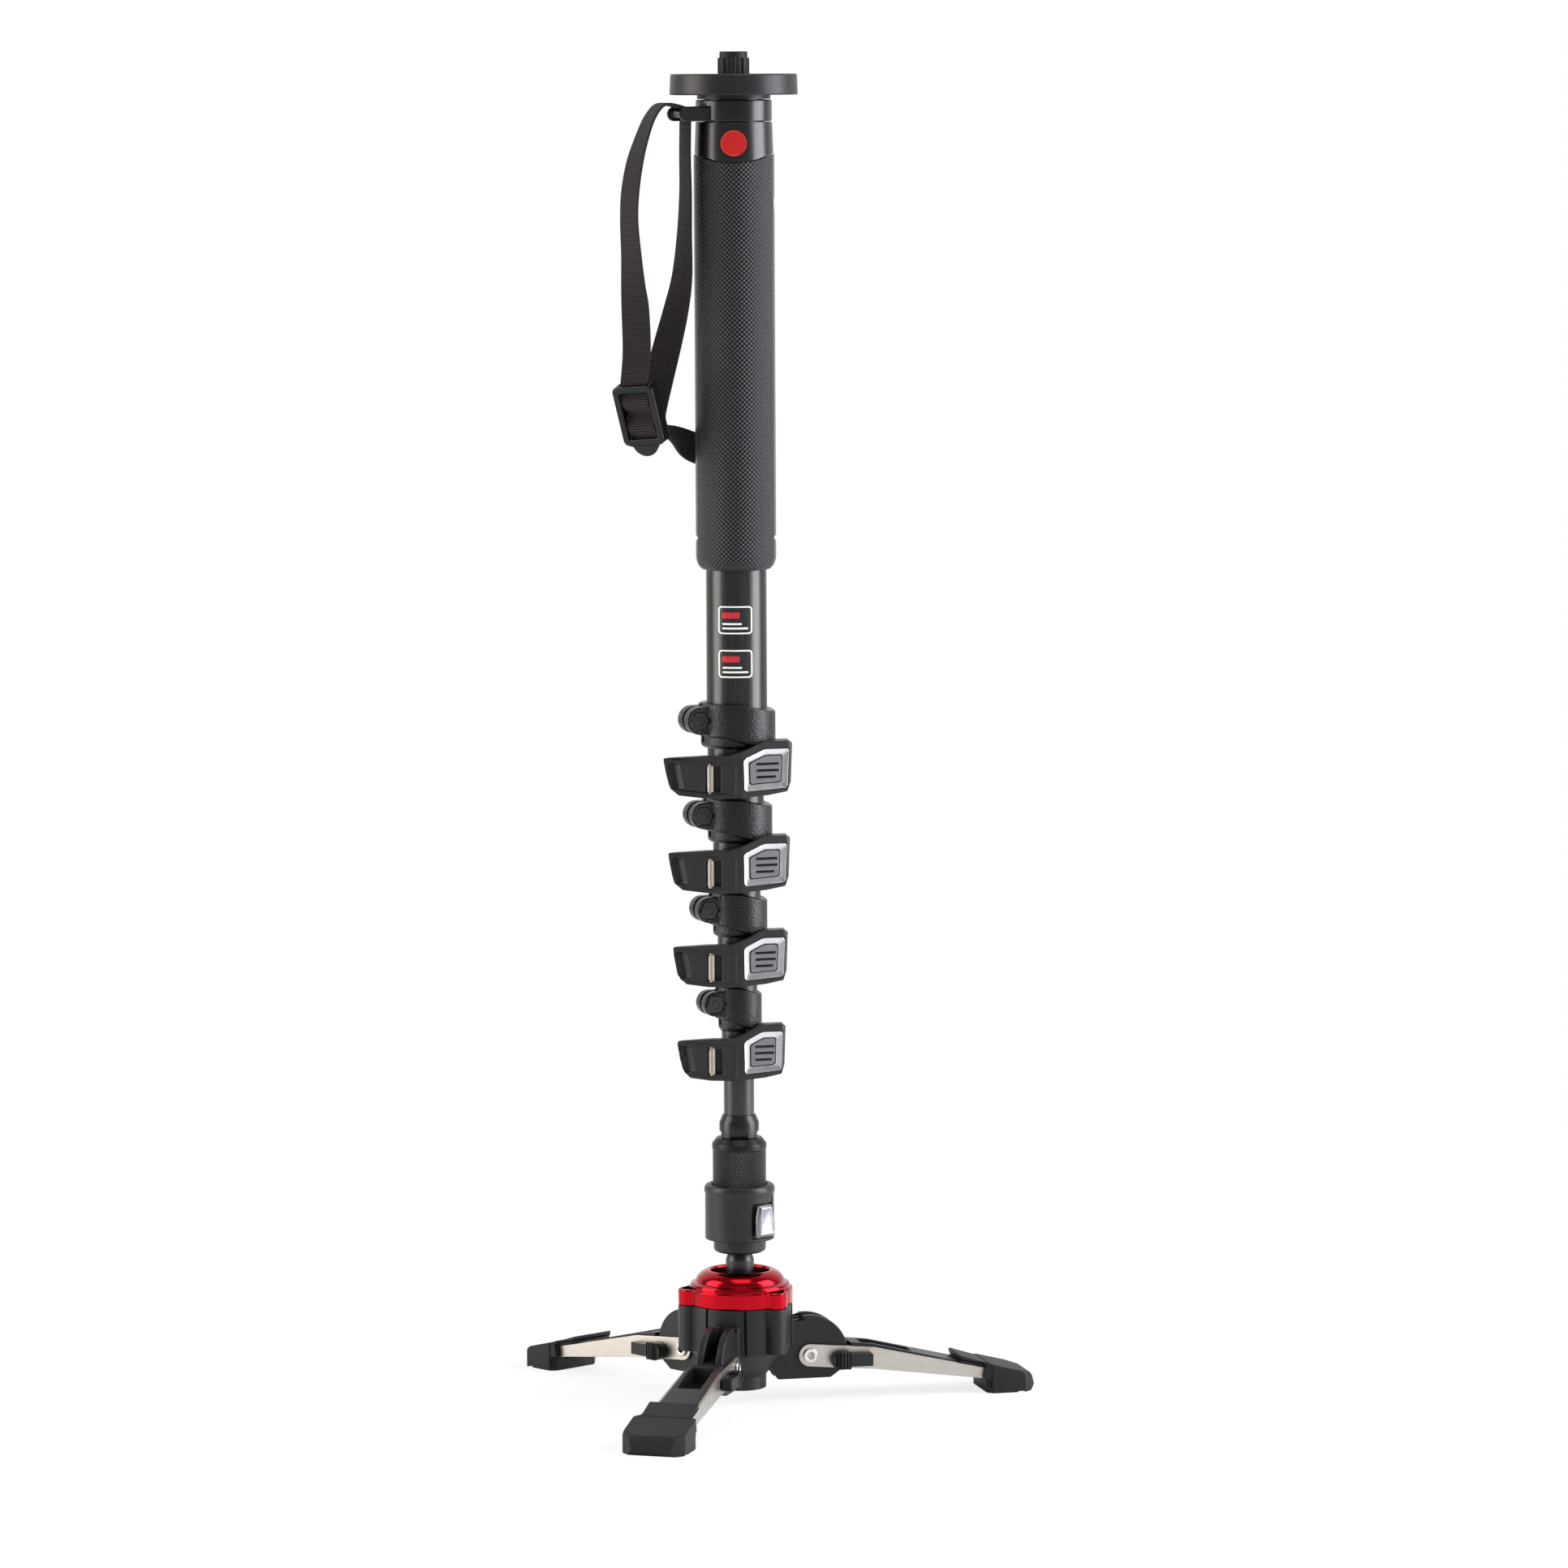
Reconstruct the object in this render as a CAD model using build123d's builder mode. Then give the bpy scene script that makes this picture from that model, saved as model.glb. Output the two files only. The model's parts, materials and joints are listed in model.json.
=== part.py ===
from build123d import *
from math import atan2, cos, degrees, radians, sin, sqrt, tan
import os

# A collapsed five-section video monopod on a three-legged base.
# Millimetres, +Z up, origin on the floor under the tube axis; the front faces -Y.

os.makedirs("parts", exist_ok=True)

# Clearances
press_gap = 0.03  # between fixed pieces that sit in one another
slide_gap = 0.1  # running fit of a tube in its bush, or a pin in its eye
free_gap = 0.35  # between pieces that move past each other
overrun = 3.0  # how far a cut runs past a face

# Telescoping tubes
top_tube_radius = 15.0
tube_radius_step = 1.8625
tube_wall = 1.2
tube_top_step = 5.0
guide_length = 12.0
section_count = 5
lock_count = section_count - 1

# Camera plate, stud and stud cap
plate_top = 662.1
plate_thickness = 10.3
plate_radius = 31.6
plate_top_radius = 31.2
plate_edge = 0.8
neck_radius = 18.1
neck_height = 2.0
plug_length = 14.0
stud_radius = 4.7625
stud_height = 8.6
stud_root = 9.0
stud_root_radius = 4.2
stud_tip_chamfer = 0.8
stud_recess_radius = 8.4
stud_recess_depth = 0.6
cap_radius = 6.9
cap_rib_radius = 7.8
cap_rib_width = 1.6
cap_rib_count = 8
cap_rib_height = 7.8
cap_height = 11.0
cap_bore_radius = 5.75
cap_roof = 1.7
cap_edge = 0.7

# Strap ring
ring_radius = 18.8
ring_height = 10.5
ring_arm_angle = 200.0
ring_arm_reach = 28.0
ring_arm_half_span = 9.0
ring_arm_thickness = 2.2
ring_eye_radius = 3.6
ring_bar_radius = 1.9

# Grip and its cap
grip_radius = 19.9
cap_ring_height = 19.7
cap_ring_top_radius = 18.9
cap_ring_radius = 19.6
seam_rise = 5.8
top_tube_shows = 66.2
grip_groove_rise = 15.6
grip_groove_depth = 1.2
grip_groove_half = 1.6
grip_end_radius = 5.0
grip_scallop_drop = 19.9
grip_scallop_depth = 1.6
grip_scallop_radius = 8.6
grip_scallop_half = 7.0
badge_radius = 6.5
badge_thickness = 1.6
badge_drop = 10.3
badge_proud = 0.5

# Tube locks: heights from the middle of the clamp ears
last_tube_shows = 18.7
lock_pitch = 47.3
band_radius_1 = 19.1
band_radius_2 = 17.3
band_radius_3 = 14.6
band_radius_4 = 11.6
neck_ring_radius_1 = 18.0
neck_ring_radius_2 = 14.8
neck_ring_radius_3 = 12.5
neck_ring_radius_4 = 10.1
liner_radius_1 = 14.7
liner_radius_2 = 12.2
liner_radius_3 = 10.2
liner_radius_4 = 8.4
band_radii = (band_radius_1, band_radius_2, band_radius_3, band_radius_4)
neck_ring_radii = (neck_ring_radius_1, neck_ring_radius_2, neck_ring_radius_3, neck_ring_radius_4)
liner_radii = (liner_radius_1, liner_radius_2, liner_radius_3, liner_radius_4)
band_top = 8.1
band_top_drop = 4.9
band_bottom = 8.0
band_bottom_drop = 4.5
neck_ring_bottom = 14.0
neck_ring_chamfer = 1.3
ear_angle = 200.0
ear_offset = 2.6
ear_radius = 6.9
ear_radius_step = 0.25
ear_half = 7.8
ear_half_step = 0.4
ear_slit = 2.4
screw_radius = 2.0
nut_radius = 4.9
nut_height = 2.2
nut_recess = 0.5
screw_head_radius = 3.6
saddle_wall = 2.0
saddle_spread = 50.0
lug_radius = 3.6
upper_lug_low = 20.0
lower_lug_low = 31.0
lower_lug_high = 27.0
pin_radius = 1.6

# Lock levers
lever_reach = 36.6
lever_reach_step = 2.05
lever_right = 27.3
lever_right_step = 1.3
lever_wall = 4.9
lever_top = 9.6
lever_bottom = 37.8
lever_pivot_side = 5.0
lever_heel = 5.2
lever_corner = 3.0
window_width = 7.4
window_top = 21.8
window_bottom = 34.7
window_depth = 4.6
window_offset = 11.7
roller_radius = 1.9
roller_offset = 13.2
roller_seat = 1.2
frame_thickness = 1.8
frame_proud = 0.5

# Front outline of a lever: shares of its reach to the left or right, and of its height
lever_outline_share = (
    (-1.0, 0.70), (-0.45, 0.74), (-0.11, 0.74), (0.085, 0.82), (0.51, 0.99), (0.91, 1.0),
    (1.0, 0.93), (0.975, 0.275), (0.91, 0.10), (0.56, 0.045), (-0.08, 0.0), (-0.45, 0.0),
    (-0.79, 0.045), (-0.91, 0.17), (-0.955, 0.39),
)
crease_share = 0.085
tip_depth_share = 0.74
tip_inner_share = 0.60
tip_inner_reach_share = 0.93
corner_depth_share = 0.62
inner_knee_angle = 245.0

# Outline of the bright frame: shares of the facet's length and of the lever's height
frame_outline_share = (
    (0.04, 0.70), (0.46, 0.865), (0.93, 0.86), (0.90, 0.17), (0.12, 0.12), (0.04, 0.24),
)

# Foot socket, coupling sleeve and tilt-lock collar
socket_height = 11.5
socket_radius = 9.9
socket_lip = 8.2
socket_cone = 4.0
socket_floor = 3.2
socket_screw_radius = 4.76
socket_screw_length = 15.0
sleeve_radius = 13.6
sleeve_height = 41.7
sleeve_overlap = 18.2
sleeve_chamfer = 1.2
collar_radius = 17.6
collar_height = 27.8
collar_step_radius = 13.1
collar_step_height = 6.6
collar_bore_depth = 20.6
collar_edge = 1.8
collar_step_edge = 2.0
collar_travel = 14.0
button_angle = -44.0
button_width = 13.6
button_top_margin = 9.0
button_low_margin = 2.2
button_inner = 16.6
button_outer = 19.9
button_travel = 1.4
button_bevel = 1.2

# Ball stem and its cartridge
ball_height = 49.0
ball_radius = 11.0
stem_radius = 7.1
stem_neck_radius = 5.7
stem_neck_rise = 26.8
stem_neck_slope = 4.2
cradle_wall = 2.3
cradle_mouth = 9.0
cradle_foot = 8.0
rotor_radius = 18.0
rotor_up = 6.0
rotor_down = 15.0

# Red retaining ring
red_ring_dome_height = 4.2
red_ring_hole = 14.6
red_ring_lip = 16.4
red_ring_tier_radius = 22.5
red_ring_step_height = 4.4
red_ring_flange_radius = 26.6
red_ring_flange_height = 8.2
red_ring_rise = 1.0
red_ring_lug_reach = 25.4
red_ring_lug_radius = 6.2

# Hub
hub_radius = 26.2
hub_skirt = 27.0
hub_boss_radius = 13.0
hub_boss_top = 14.0
hub_boss_bottom = 7.0

# Legs: measured in each leg's own upright plane, from the tube axis
leg_count = 3
leg_angle = 13.4
leg_pivot_reach = 34.0
leg_pivot_height = 22.7
leg_eye_radius = 5.7
leg_pin_radius = 2.5
leg_pin_head_radius = 3.6
leg_pin_head = 0.9
leg_plate = 1.5
leg_half_width = 8.6
leg_spread = 2.1
leg_knee_reach = 67.0
leg_knee_top = 25.6
leg_knee_bottom = 14.4
leg_end_top = 12.7
leg_end_bottom = 7.2
ear_plate_radius = 20.0
ear_plate_thickness = 3.6
ear_plate_drop = 6.6
ear_plate_tail = 10.7
ear_plate_tail_reach = 45.0
spar_rise = 1.3
spar_tongue_half = 2.6
spar_start = 21.0
spar_pocket_length = 26.0
spar_pocket_depth = 5.0
spar_pocket_start = 6.0
spar_pocket_wall = 2.0
spar_tenon_length = 12.0
spar_tenon_half = 7.0
spar_tenon_height = 4.0
foot_tip_reach = 150.0
foot_length = 26.0
foot_half_width = 16.0
foot_hump_length = 13.0
foot_heel_half = 12.6
foot_top = 15.5
foot_tip_top = 9.5
foot_corner = 6.0
foot_notch = 0.6
foot_notch_half = 2.0
latch_start = 10.0
latch_length = 21.0
latch_half_height = 4.4
latch_drop = 2.6
latch_depth = 5.2
latch_waist_share = 0.45
latch_tongue_start = 24.0
latch_tongue_length = 4.0
latch_tongue_half = 1.6
latch_tongue_depth = 3.0
latch_travel = 4.0

# Wrist strap and its buckle
strap_width = 15.0
strap_thickness = 1.2
strap_drop = 160.0
buckle_height = 31.0
buckle_half_depth = 4.0
buckle_bar = 3.4
buckle_rail = 3.6
buckle_tongue_radius = 7.6
buckle_tongue_thickness = 2.2
buckle_turn = 166.0
buckle_lean = 10.0
buckle_share = (-0.126, -0.046, -0.9175)

# The strap's route above its buckle, from the bar of its ring, in shares of its drop:
# right, back, up, then the direction of its width as an angle seen from above
loop_route_share = (
    (-0.137, -0.044, -0.729, 157.0), (-0.140, -0.048, -0.600, 155.0), (-0.146, -0.049, -0.525, 142.0),
    (-0.151, -0.051, -0.435, 131.0), (-0.157, -0.052, -0.325, 125.0), (-0.153, -0.051, -0.235, 125.0),
    (-0.138, -0.048, -0.145, 122.0), (-0.117, -0.041, -0.073, 116.0), (-0.095, -0.034, -0.016, 112.0),
    (-0.070, -0.025, 0.021, 110.0), (-0.048, -0.0175, 0.031, 110.0), (-0.023, -0.009, 0.0275, 110.0),
    (0.0, 0.0, 0.020, 110.0), (0.012, 0.0045, 0.013, 110.0), (0.0170, 0.0062, 0.0, 110.0),
    (0.016, 0.006, -0.030, 110.0), (0.0145, 0.006, -0.125, 110.0), (0.0155, 0.006, -0.240, 112.0),
    (0.011, 0.004, -0.375, 118.0), (0.003, 0.0005, -0.500, 131.0), (-0.016, -0.004, -0.600, 145.0),
    (-0.041, -0.0075, -0.700, 156.0), (-0.067, -0.010, -0.800, 163.0), (-0.088, -0.0115, -0.885, 166.0),
)
# The loose tail from the foot of the back strand: right, back, up, then its width's direction
tail_route_share = (
    ((-0.095, -0.0115, -0.930), (-0.97, 0.24, 0.0)), ((-0.088, -0.009, -0.965), (-0.95, 0.30, 0.10)),
    ((-0.068, 0.006, -0.980), (-0.80, 0.50, 0.30)), ((-0.042, 0.038, -0.990), (-0.50, 0.50, 0.70)),
    ((-0.008, 0.085, -1.008), (-0.20, 0.20, 0.95)), ((0.028, 0.132, -1.028), (0.0, 0.0, 1.0)),
    ((0.072, 0.176, -1.048), (0.0, 0.0, 1.0)), ((0.122, 0.205, -1.068), (0.0, 0.0, 1.0)),
)


def round_bar(radius, low, high, mode=Mode.ADD):
    """A cylinder on the tube axis, between two heights."""
    with BuildSketch(Plane.XY.offset(low)) as disc:
        Circle(radius)
    extrude(disc.sketch, amount=high - low, mode=mode)


def turn(*points, mode=Mode.ADD):
    """Revolve an outline of (radius, height) points about the tube axis."""
    with BuildSketch(Plane.XZ) as outline:
        Polygon(*points, align=None)
    revolve(outline.sketch, axis=Axis.Z, mode=mode)


def tube_radius(n):
    return top_tube_radius - (n - 1) * tube_radius_step


def lock_z(n):
    return lock_height - (n - 1) * lock_pitch


# The stack of heights from the ball up to the grip's lower end
stem_neck_height = ball_height + stem_neck_rise
collar_step_bottom = stem_neck_height
collar_bottom = collar_step_bottom + collar_step_height
collar_top = collar_bottom + collar_height
button_low = collar_bottom + button_low_margin
button_high = collar_top - button_top_margin
sleeve_bottom = collar_top - sleeve_overlap
socket_bottom = sleeve_bottom + sleeve_height
socket_top = socket_bottom + socket_height
lock_height = socket_top + last_tube_shows + lever_bottom + (lock_count - 1) * lock_pitch
grip_low = lock_height + band_top + top_tube_shows
grip_groove_height = grip_low + grip_groove_rise

# The red ring's heights, and what lies under it
red_ring_bottom = ball_height + red_ring_rise
red_ring_flange_top = red_ring_bottom + red_ring_flange_height
red_ring_tier_height = red_ring_flange_top + red_ring_step_height
red_ring_top = red_ring_tier_height + red_ring_dome_height
ear_plate_top = red_ring_bottom - ear_plate_drop

# Reaches along a leg, back from its tip
leg_end_reach = foot_tip_reach - foot_length
foot_hump_reach = leg_end_reach - foot_hump_length

# Down from the camera plate to the top of the grip
neck_top = plate_top - plate_thickness
neck_low = neck_top - neck_height
plug_low = neck_low - plug_length
ring_low = neck_low - free_gap - ring_height
cap_ring_top = ring_low - free_gap
cap_ring_low = cap_ring_top - cap_ring_height
badge_height = cap_ring_top - badge_drop
grip_scallop_height = cap_ring_low - grip_scallop_drop
stud_floor = plate_top - stud_recess_depth
socket_seat = socket_bottom + socket_floor


# Tubes
def make_tube(n):
    """Tube n, with a guide bonded to its top end that runs in the tube outside it."""
    radius = tube_radius(n)
    low = lock_z(n) - band_bottom if n < section_count else socket_seat + press_gap
    high = neck_low if n == 1 else plug_low - (n - 1) * tube_top_step
    with BuildPart() as tube:
        round_bar(radius, low, high)
        if n > 1:
            guide = tube_radius(n - 1) - tube_wall - slide_gap
            round_bar(guide, high - guide_length, high)
        round_bar(radius - tube_wall, low - overrun, high + overrun, Mode.SUBTRACT)
    tube.part.label = f"tube_{n}"
    export_step(tube.part, f"parts/tube_{n}.step")


for number in range(1, section_count + 1):
    make_tube(number)


# Camera plate, stud, stud cap
with BuildPart() as plate:
    turn(
        (0, plug_low), (tube_radius(1) - tube_wall - press_gap, plug_low),
        (tube_radius(1) - tube_wall - press_gap, neck_low), (neck_radius, neck_low),
        (neck_radius, neck_top), (plate_radius, neck_top),
        (plate_top_radius, plate_top), (0, plate_top),
    )
    fillet(plate.edges().filter_by(GeomType.CIRCLE).filter_by(
        lambda e: e.radius > neck_radius + plate_edge), radius=plate_edge)
    round_bar(stud_root_radius + press_gap, plate_top - stud_root, plate_top + overrun, Mode.SUBTRACT)
    # room round the stud for its cap, so that a head lies flat on the plate
    round_bar(stud_recess_radius, stud_floor, plate_top + overrun, Mode.SUBTRACT)
plate.part.label = "top_plate"
export_step(plate.part, "parts/top_plate.step")

with BuildPart() as stud:
    round_bar(stud_root_radius, plate_top - stud_root + press_gap, stud_floor)
    round_bar(stud_radius, stud_floor, plate_top + stud_height)
    chamfer(stud.edges().sort_by(Axis.Z)[-1], length=stud_tip_chamfer)
stud.part.label = "camera_stud"
export_step(stud.part, "parts/camera_stud.step")

with BuildPart() as stud_cap:
    cap_low = stud_floor + press_gap
    cap_high = plate_top + cap_height
    round_bar(cap_radius, cap_low, cap_high)
    fillet(stud_cap.edges().sort_by(Axis.Z)[-1], radius=cap_edge)
    with BuildSketch(Plane.XY.offset(cap_low)) as ribs:
        with PolarLocations(0, cap_rib_count, start_angle=-90.0):
            with Locations((cap_rib_radius / 2, 0)):
                Rectangle(cap_rib_radius, cap_rib_width)
    extrude(ribs.sketch, amount=stud_recess_depth + cap_rib_height)
    round_bar(cap_bore_radius, cap_low - overrun, cap_high - cap_roof, Mode.SUBTRACT)
stud_cap.part.label = "stud_cap"
export_step(stud_cap.part, "parts/stud_cap.step")


# Strap ring: a swivel ring with two arms and a bar between their eyes
def arm_plane(angle, height):
    """Upright plane through the axis: its x runs out along the angle, its y runs up."""
    a = radians(angle)
    return Plane(origin=(0, 0, height), x_dir=(cos(a), sin(a), 0), z_dir=(sin(a), -cos(a), 0))


ring_eye_z = ring_low + ring_eye_radius + press_gap
with BuildPart() as strap_ring:
    round_bar(ring_radius, ring_low, ring_low + ring_height)
    eye = arm_plane(ring_arm_angle, ring_eye_z)
    for side in (-1, 1):
        face = eye.offset(side * ring_arm_half_span - ring_arm_thickness / 2)
        with BuildSketch(face):
            with Locations((ring_arm_reach / 2, 0)):
                Rectangle(ring_arm_reach, 2 * ring_eye_radius)
            with Locations((ring_arm_reach, 0)):
                Circle(ring_eye_radius)
        extrude(amount=ring_arm_thickness)
    with BuildSketch(eye):
        with Locations((ring_arm_reach, 0)):
            Circle(ring_bar_radius)
    extrude(amount=ring_arm_half_span, both=True)
    round_bar(top_tube_radius + free_gap, ring_low - overrun, neck_low + overrun, Mode.SUBTRACT)
strap_ring.part.label = "strap_ring"
export_step(strap_ring.part, "parts/strap_ring.step")


# Grip and its cap: they meet on a seam that dips at the front and the back
def seam_side(low, high, drop):
    """The outline above the seam, seen from the front, for trimming either piece."""
    half = grip_radius + overrun
    side_low = low + seam_rise - drop
    with BuildSketch(Plane.XZ) as side:
        with BuildLine():
            ThreePointArc((-half, side_low), (0, low - drop), (half, side_low))
            Polyline((half, side_low), (half, high), (-half, high), (-half, side_low))
        make_face()
    return side.sketch


with BuildPart() as grip_cap:
    turn(
        (top_tube_radius + press_gap, cap_ring_low), (cap_ring_radius, cap_ring_low),
        (cap_ring_top_radius, cap_ring_top), (top_tube_radius + press_gap, cap_ring_top),
    )
    extrude(seam_side(cap_ring_low, cap_ring_top + overrun, 0), amount=grip_radius + overrun,
            both=True, mode=Mode.INTERSECT)
    with BuildSketch(Plane.XZ.offset(cap_ring_radius + badge_proud - badge_thickness - press_gap)):
        with Locations((0, badge_height)):
            Circle(badge_radius + press_gap)
    extrude(amount=badge_thickness + overrun, mode=Mode.SUBTRACT)
grip_cap.part.label = "grip_cap"
export_step(grip_cap.part, "parts/grip_cap.step")

with BuildPart() as cap_badge:
    with BuildSketch(Plane.XZ.offset(cap_ring_radius + badge_proud - badge_thickness)):
        with Locations((0, badge_height)):
            Circle(badge_radius)
    extrude(amount=badge_thickness)
cap_badge.part.label = "cap_badge"
export_step(cap_badge.part, "parts/cap_badge.step")

with BuildPart() as grip:
    bore = top_tube_radius + press_gap
    grip_high = cap_ring_low + seam_rise
    turn(
        (bore, grip_low), (grip_radius - grip_end_radius / 2, grip_low),
        (grip_radius, grip_low + grip_end_radius),
        (grip_radius, grip_groove_height - grip_groove_half),
        (grip_radius - grip_groove_depth, grip_groove_height),
        (grip_radius, grip_groove_height + grip_groove_half),
        (grip_radius, grip_high), (bore, grip_high),
    )
    extrude(seam_side(cap_ring_low, grip_high + overrun, press_gap), amount=grip_radius + overrun,
            both=True, mode=Mode.SUBTRACT)
    with BuildSketch(Plane.XZ):
        with Locations((grip_radius + grip_scallop_radius - grip_scallop_depth, grip_scallop_height)):
            Circle(grip_scallop_radius)
    extrude(amount=grip_scallop_half, both=True, mode=Mode.SUBTRACT)
grip.part.label = "grip"
export_step(grip.part, "parts/grip.step")


# Tube locks
def ear_reach(n):
    return band_radii[n - 1] + ear_offset


def ear_size(n):
    return ear_radius - (n - 1) * ear_radius_step


def ear_span(n):
    return ear_half - (n - 1) * ear_half_step


def saddle_radius(n):
    return liner_radii[n - 1] + saddle_wall


def lever_front(n):
    return band_radii[n - 1] + lever_wall


def lever_extents(n):
    """How far lever n reaches to the left and to the right of the axis."""
    return lever_reach - (n - 1) * lever_reach_step, lever_right - (n - 1) * lever_right_step


def lever_pivot(n):
    return lever_extents(n)[1] - lever_heel, -lever_pivot_side


def make_lock_collar(n):
    """The clamp band with its ears, the ring below it, and the lugs for the lever's pin."""
    z = lock_z(n)
    band = band_radii[n - 1]
    neck = neck_ring_radii[n - 1]
    pivot = lever_pivot(n)
    heading = degrees(atan2(pivot[1], pivot[0]))
    knee = band / 8
    with BuildPart() as collar:
        round_bar(band, z - band_bottom - band_bottom_drop, z + band_top)
        with BuildSketch(Plane.XZ) as side:
            half = band + overrun
            Polygon(
                (-half, z + band_top), (knee, z + band_top), (half, z + band_top - band_top_drop),
                (half, z - band_bottom - band_bottom_drop), (band / 2, z - band_bottom - band_bottom_drop),
                (-band / 3, z - band_bottom), (-half, z - band_bottom),
                align=None,
            )
        extrude(amount=half, both=True, mode=Mode.INTERSECT)
        ears = arm_plane(ear_angle, z)
        with BuildSketch(ears):
            with Locations((ear_reach(n) / 2, 0)):
                Rectangle(ear_reach(n), 2 * ear_size(n))
            with Locations((ear_reach(n), 0)):
                Circle(ear_size(n))
        extrude(amount=ear_span(n), both=True)
        turn(
            (0, z - neck_ring_bottom), (neck - neck_ring_chamfer, z - neck_ring_bottom),
            (neck, z - neck_ring_bottom + neck_ring_chamfer), (neck, z), (0, z),
        )
        # saddle behind the pivot, hidden by the lever
        with BuildSketch(Plane.XY.offset(z - lower_lug_low)) as saddle:
            Circle(saddle_radius(n))
            with BuildSketch(mode=Mode.INTERSECT):
                far = 2 * saddle_radius(n)
                with Locations(Rotation(0, 0, heading)):
                    Polygon(
                        (0, 0), (far * cos(radians(saddle_spread)), -far * sin(radians(saddle_spread))),
                        (far, 0), (far * cos(radians(saddle_spread)), far * sin(radians(saddle_spread))),
                        align=None,
                    )
        extrude(amount=lower_lug_low - neck_ring_bottom + neck_ring_chamfer)
        for low, high in ((lower_lug_low, lower_lug_high), (upper_lug_low, neck_ring_bottom)):
            with BuildSketch(Plane.XY.offset(z - low)):
                with Locations(Location((0, 0, 0), (0, 0, heading))):
                    reach = sqrt(pivot[0] ** 2 + pivot[1] ** 2)
                    with Locations((reach / 2, 0)):
                        Rectangle(reach, 2 * lug_radius)
                with Locations(pivot):
                    Circle(lug_radius)
            extrude(amount=low - high)
        # bores
        round_bar(tube_radius(n) + press_gap, z - band_bottom, z + band_top + overrun, Mode.SUBTRACT)
        round_bar(liner_radii[n - 1] + press_gap, z - lever_bottom, z, Mode.SUBTRACT)
        with BuildSketch(Plane.XY.offset(z - lower_lug_low - overrun)):
            with Locations(pivot):
                Circle(pin_radius + press_gap)
        extrude(amount=lower_lug_low + overrun - neck_ring_bottom + press_gap, mode=Mode.SUBTRACT)
        # slit, clamp screw's bore and nut recess
        with BuildSketch(ears):
            with Locations((ear_reach(n), 0)):
                Rectangle(2 * ear_reach(n), 2 * (band_top + overrun))
        extrude(amount=ear_slit / 2, both=True, mode=Mode.SUBTRACT)
        with BuildSketch(ears):
            with Locations((ear_reach(n), 0)):
                Circle(screw_radius + press_gap)
        extrude(amount=ear_span(n) + overrun, both=True, mode=Mode.SUBTRACT)
        with BuildSketch(ears.offset(-ear_span(n) - overrun)):
            with Locations((ear_reach(n), 0)):
                RegularPolygon(nut_radius + press_gap, 6)
        extrude(amount=overrun + nut_height + nut_recess, mode=Mode.SUBTRACT)
        with BuildSketch(ears.offset(ear_span(n) - nut_height)):
            with Locations((ear_reach(n), 0)):
                Circle(screw_head_radius + press_gap)
        extrude(amount=nut_height + overrun, mode=Mode.SUBTRACT)
    collar.part.label = f"lock_collar_{n}"
    export_step(collar.part, f"parts/lock_collar_{n}.step")


def make_lock_liner(n):
    """The split bush that grips the tube inside."""
    z = lock_z(n)
    high = z - band_bottom - press_gap
    low = z - lever_bottom + neck_ring_chamfer
    inner = tube_radius(n + 1) + slide_gap
    with BuildPart() as liner:
        round_bar(liner_radii[n - 1], low, high)
        round_bar(inner, low - overrun, high + overrun, Mode.SUBTRACT)
        with BuildSketch(Plane.XY.offset(low)):
            with Locations((0, liner_radii[n - 1])):
                Rectangle(ear_slit / 2, liner_radii[n - 1])
        extrude(amount=neck_ring_bottom, mode=Mode.SUBTRACT)
    liner.part.label = f"lock_liner_{n}"
    export_step(liner.part, f"parts/lock_liner_{n}.step")


def make_lock_fasteners(n):
    """The clamp screw, its nut and the lever's pivot pin."""
    z = lock_z(n)
    ears = arm_plane(ear_angle, z)
    span = ear_span(n)
    with BuildPart() as fasteners:
        with BuildSketch(ears.offset(-span + nut_recess)):
            with Locations((ear_reach(n), 0)):
                Circle(screw_radius)
        extrude(amount=2 * span - nut_recess - press_gap)
        with BuildSketch(ears.offset(span - nut_height + press_gap)):
            with Locations((ear_reach(n), 0)):
                Circle(screw_head_radius)
        extrude(amount=nut_height - 2 * press_gap)
        with BuildSketch(ears.offset(-span + nut_recess)):
            with Locations((ear_reach(n), 0)):
                RegularPolygon(nut_radius, 6)
                Circle(screw_radius + press_gap, mode=Mode.SUBTRACT)
        extrude(amount=nut_height - press_gap)
        with BuildSketch(Plane.XY.offset(z - lower_lug_low - ear_slit)):
            with Locations(lever_pivot(n)):
                Circle(pin_radius)
        extrude(amount=lower_lug_low + ear_slit - neck_ring_bottom)
    fasteners.part.label = f"lock_fasteners_{n}"
    export_step(fasteners.part, f"parts/lock_fasteners_{n}.step")


def lever_facet(n):
    """The plane of the lever's right-hand facet: x along it, y up, z outward."""
    right = lever_extents(n)[1]
    start = (crease_share * right, -lever_front(n))
    end = (right, -corner_depth_share * lever_front(n))
    length = sqrt((end[0] - start[0]) ** 2 + (end[1] - start[1]) ** 2)
    along = ((end[0] - start[0]) / length, (end[1] - start[1]) / length, 0)
    base = (start[0], start[1], lock_z(n) - lever_bottom)
    return Plane(origin=base, x_dir=along, z_dir=(along[1], -along[0], 0)), length


def lever_outline(n):
    """The lever's outline seen from the front, in real sizes."""
    left, right = lever_extents(n)
    base = lock_z(n) - lever_bottom
    height = lever_bottom - lever_top
    return [
        ((left if x < 0 else right) * x, base + height * y) for x, y in lever_outline_share
    ]


def frame_outline(n, grow=0):
    """The bright frame's outline on the facet, grown by a clearance about its middle."""
    length = lever_facet(n)[1]
    height = lever_bottom - lever_top
    points = [(length * x, height * y) for x, y in frame_outline_share]
    mid_x = length / 2
    mid_y = height / 2
    return [
        (x + (grow if x > mid_x else -grow), y + (grow if y > mid_y else -grow)) for x, y in points
    ]


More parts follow.
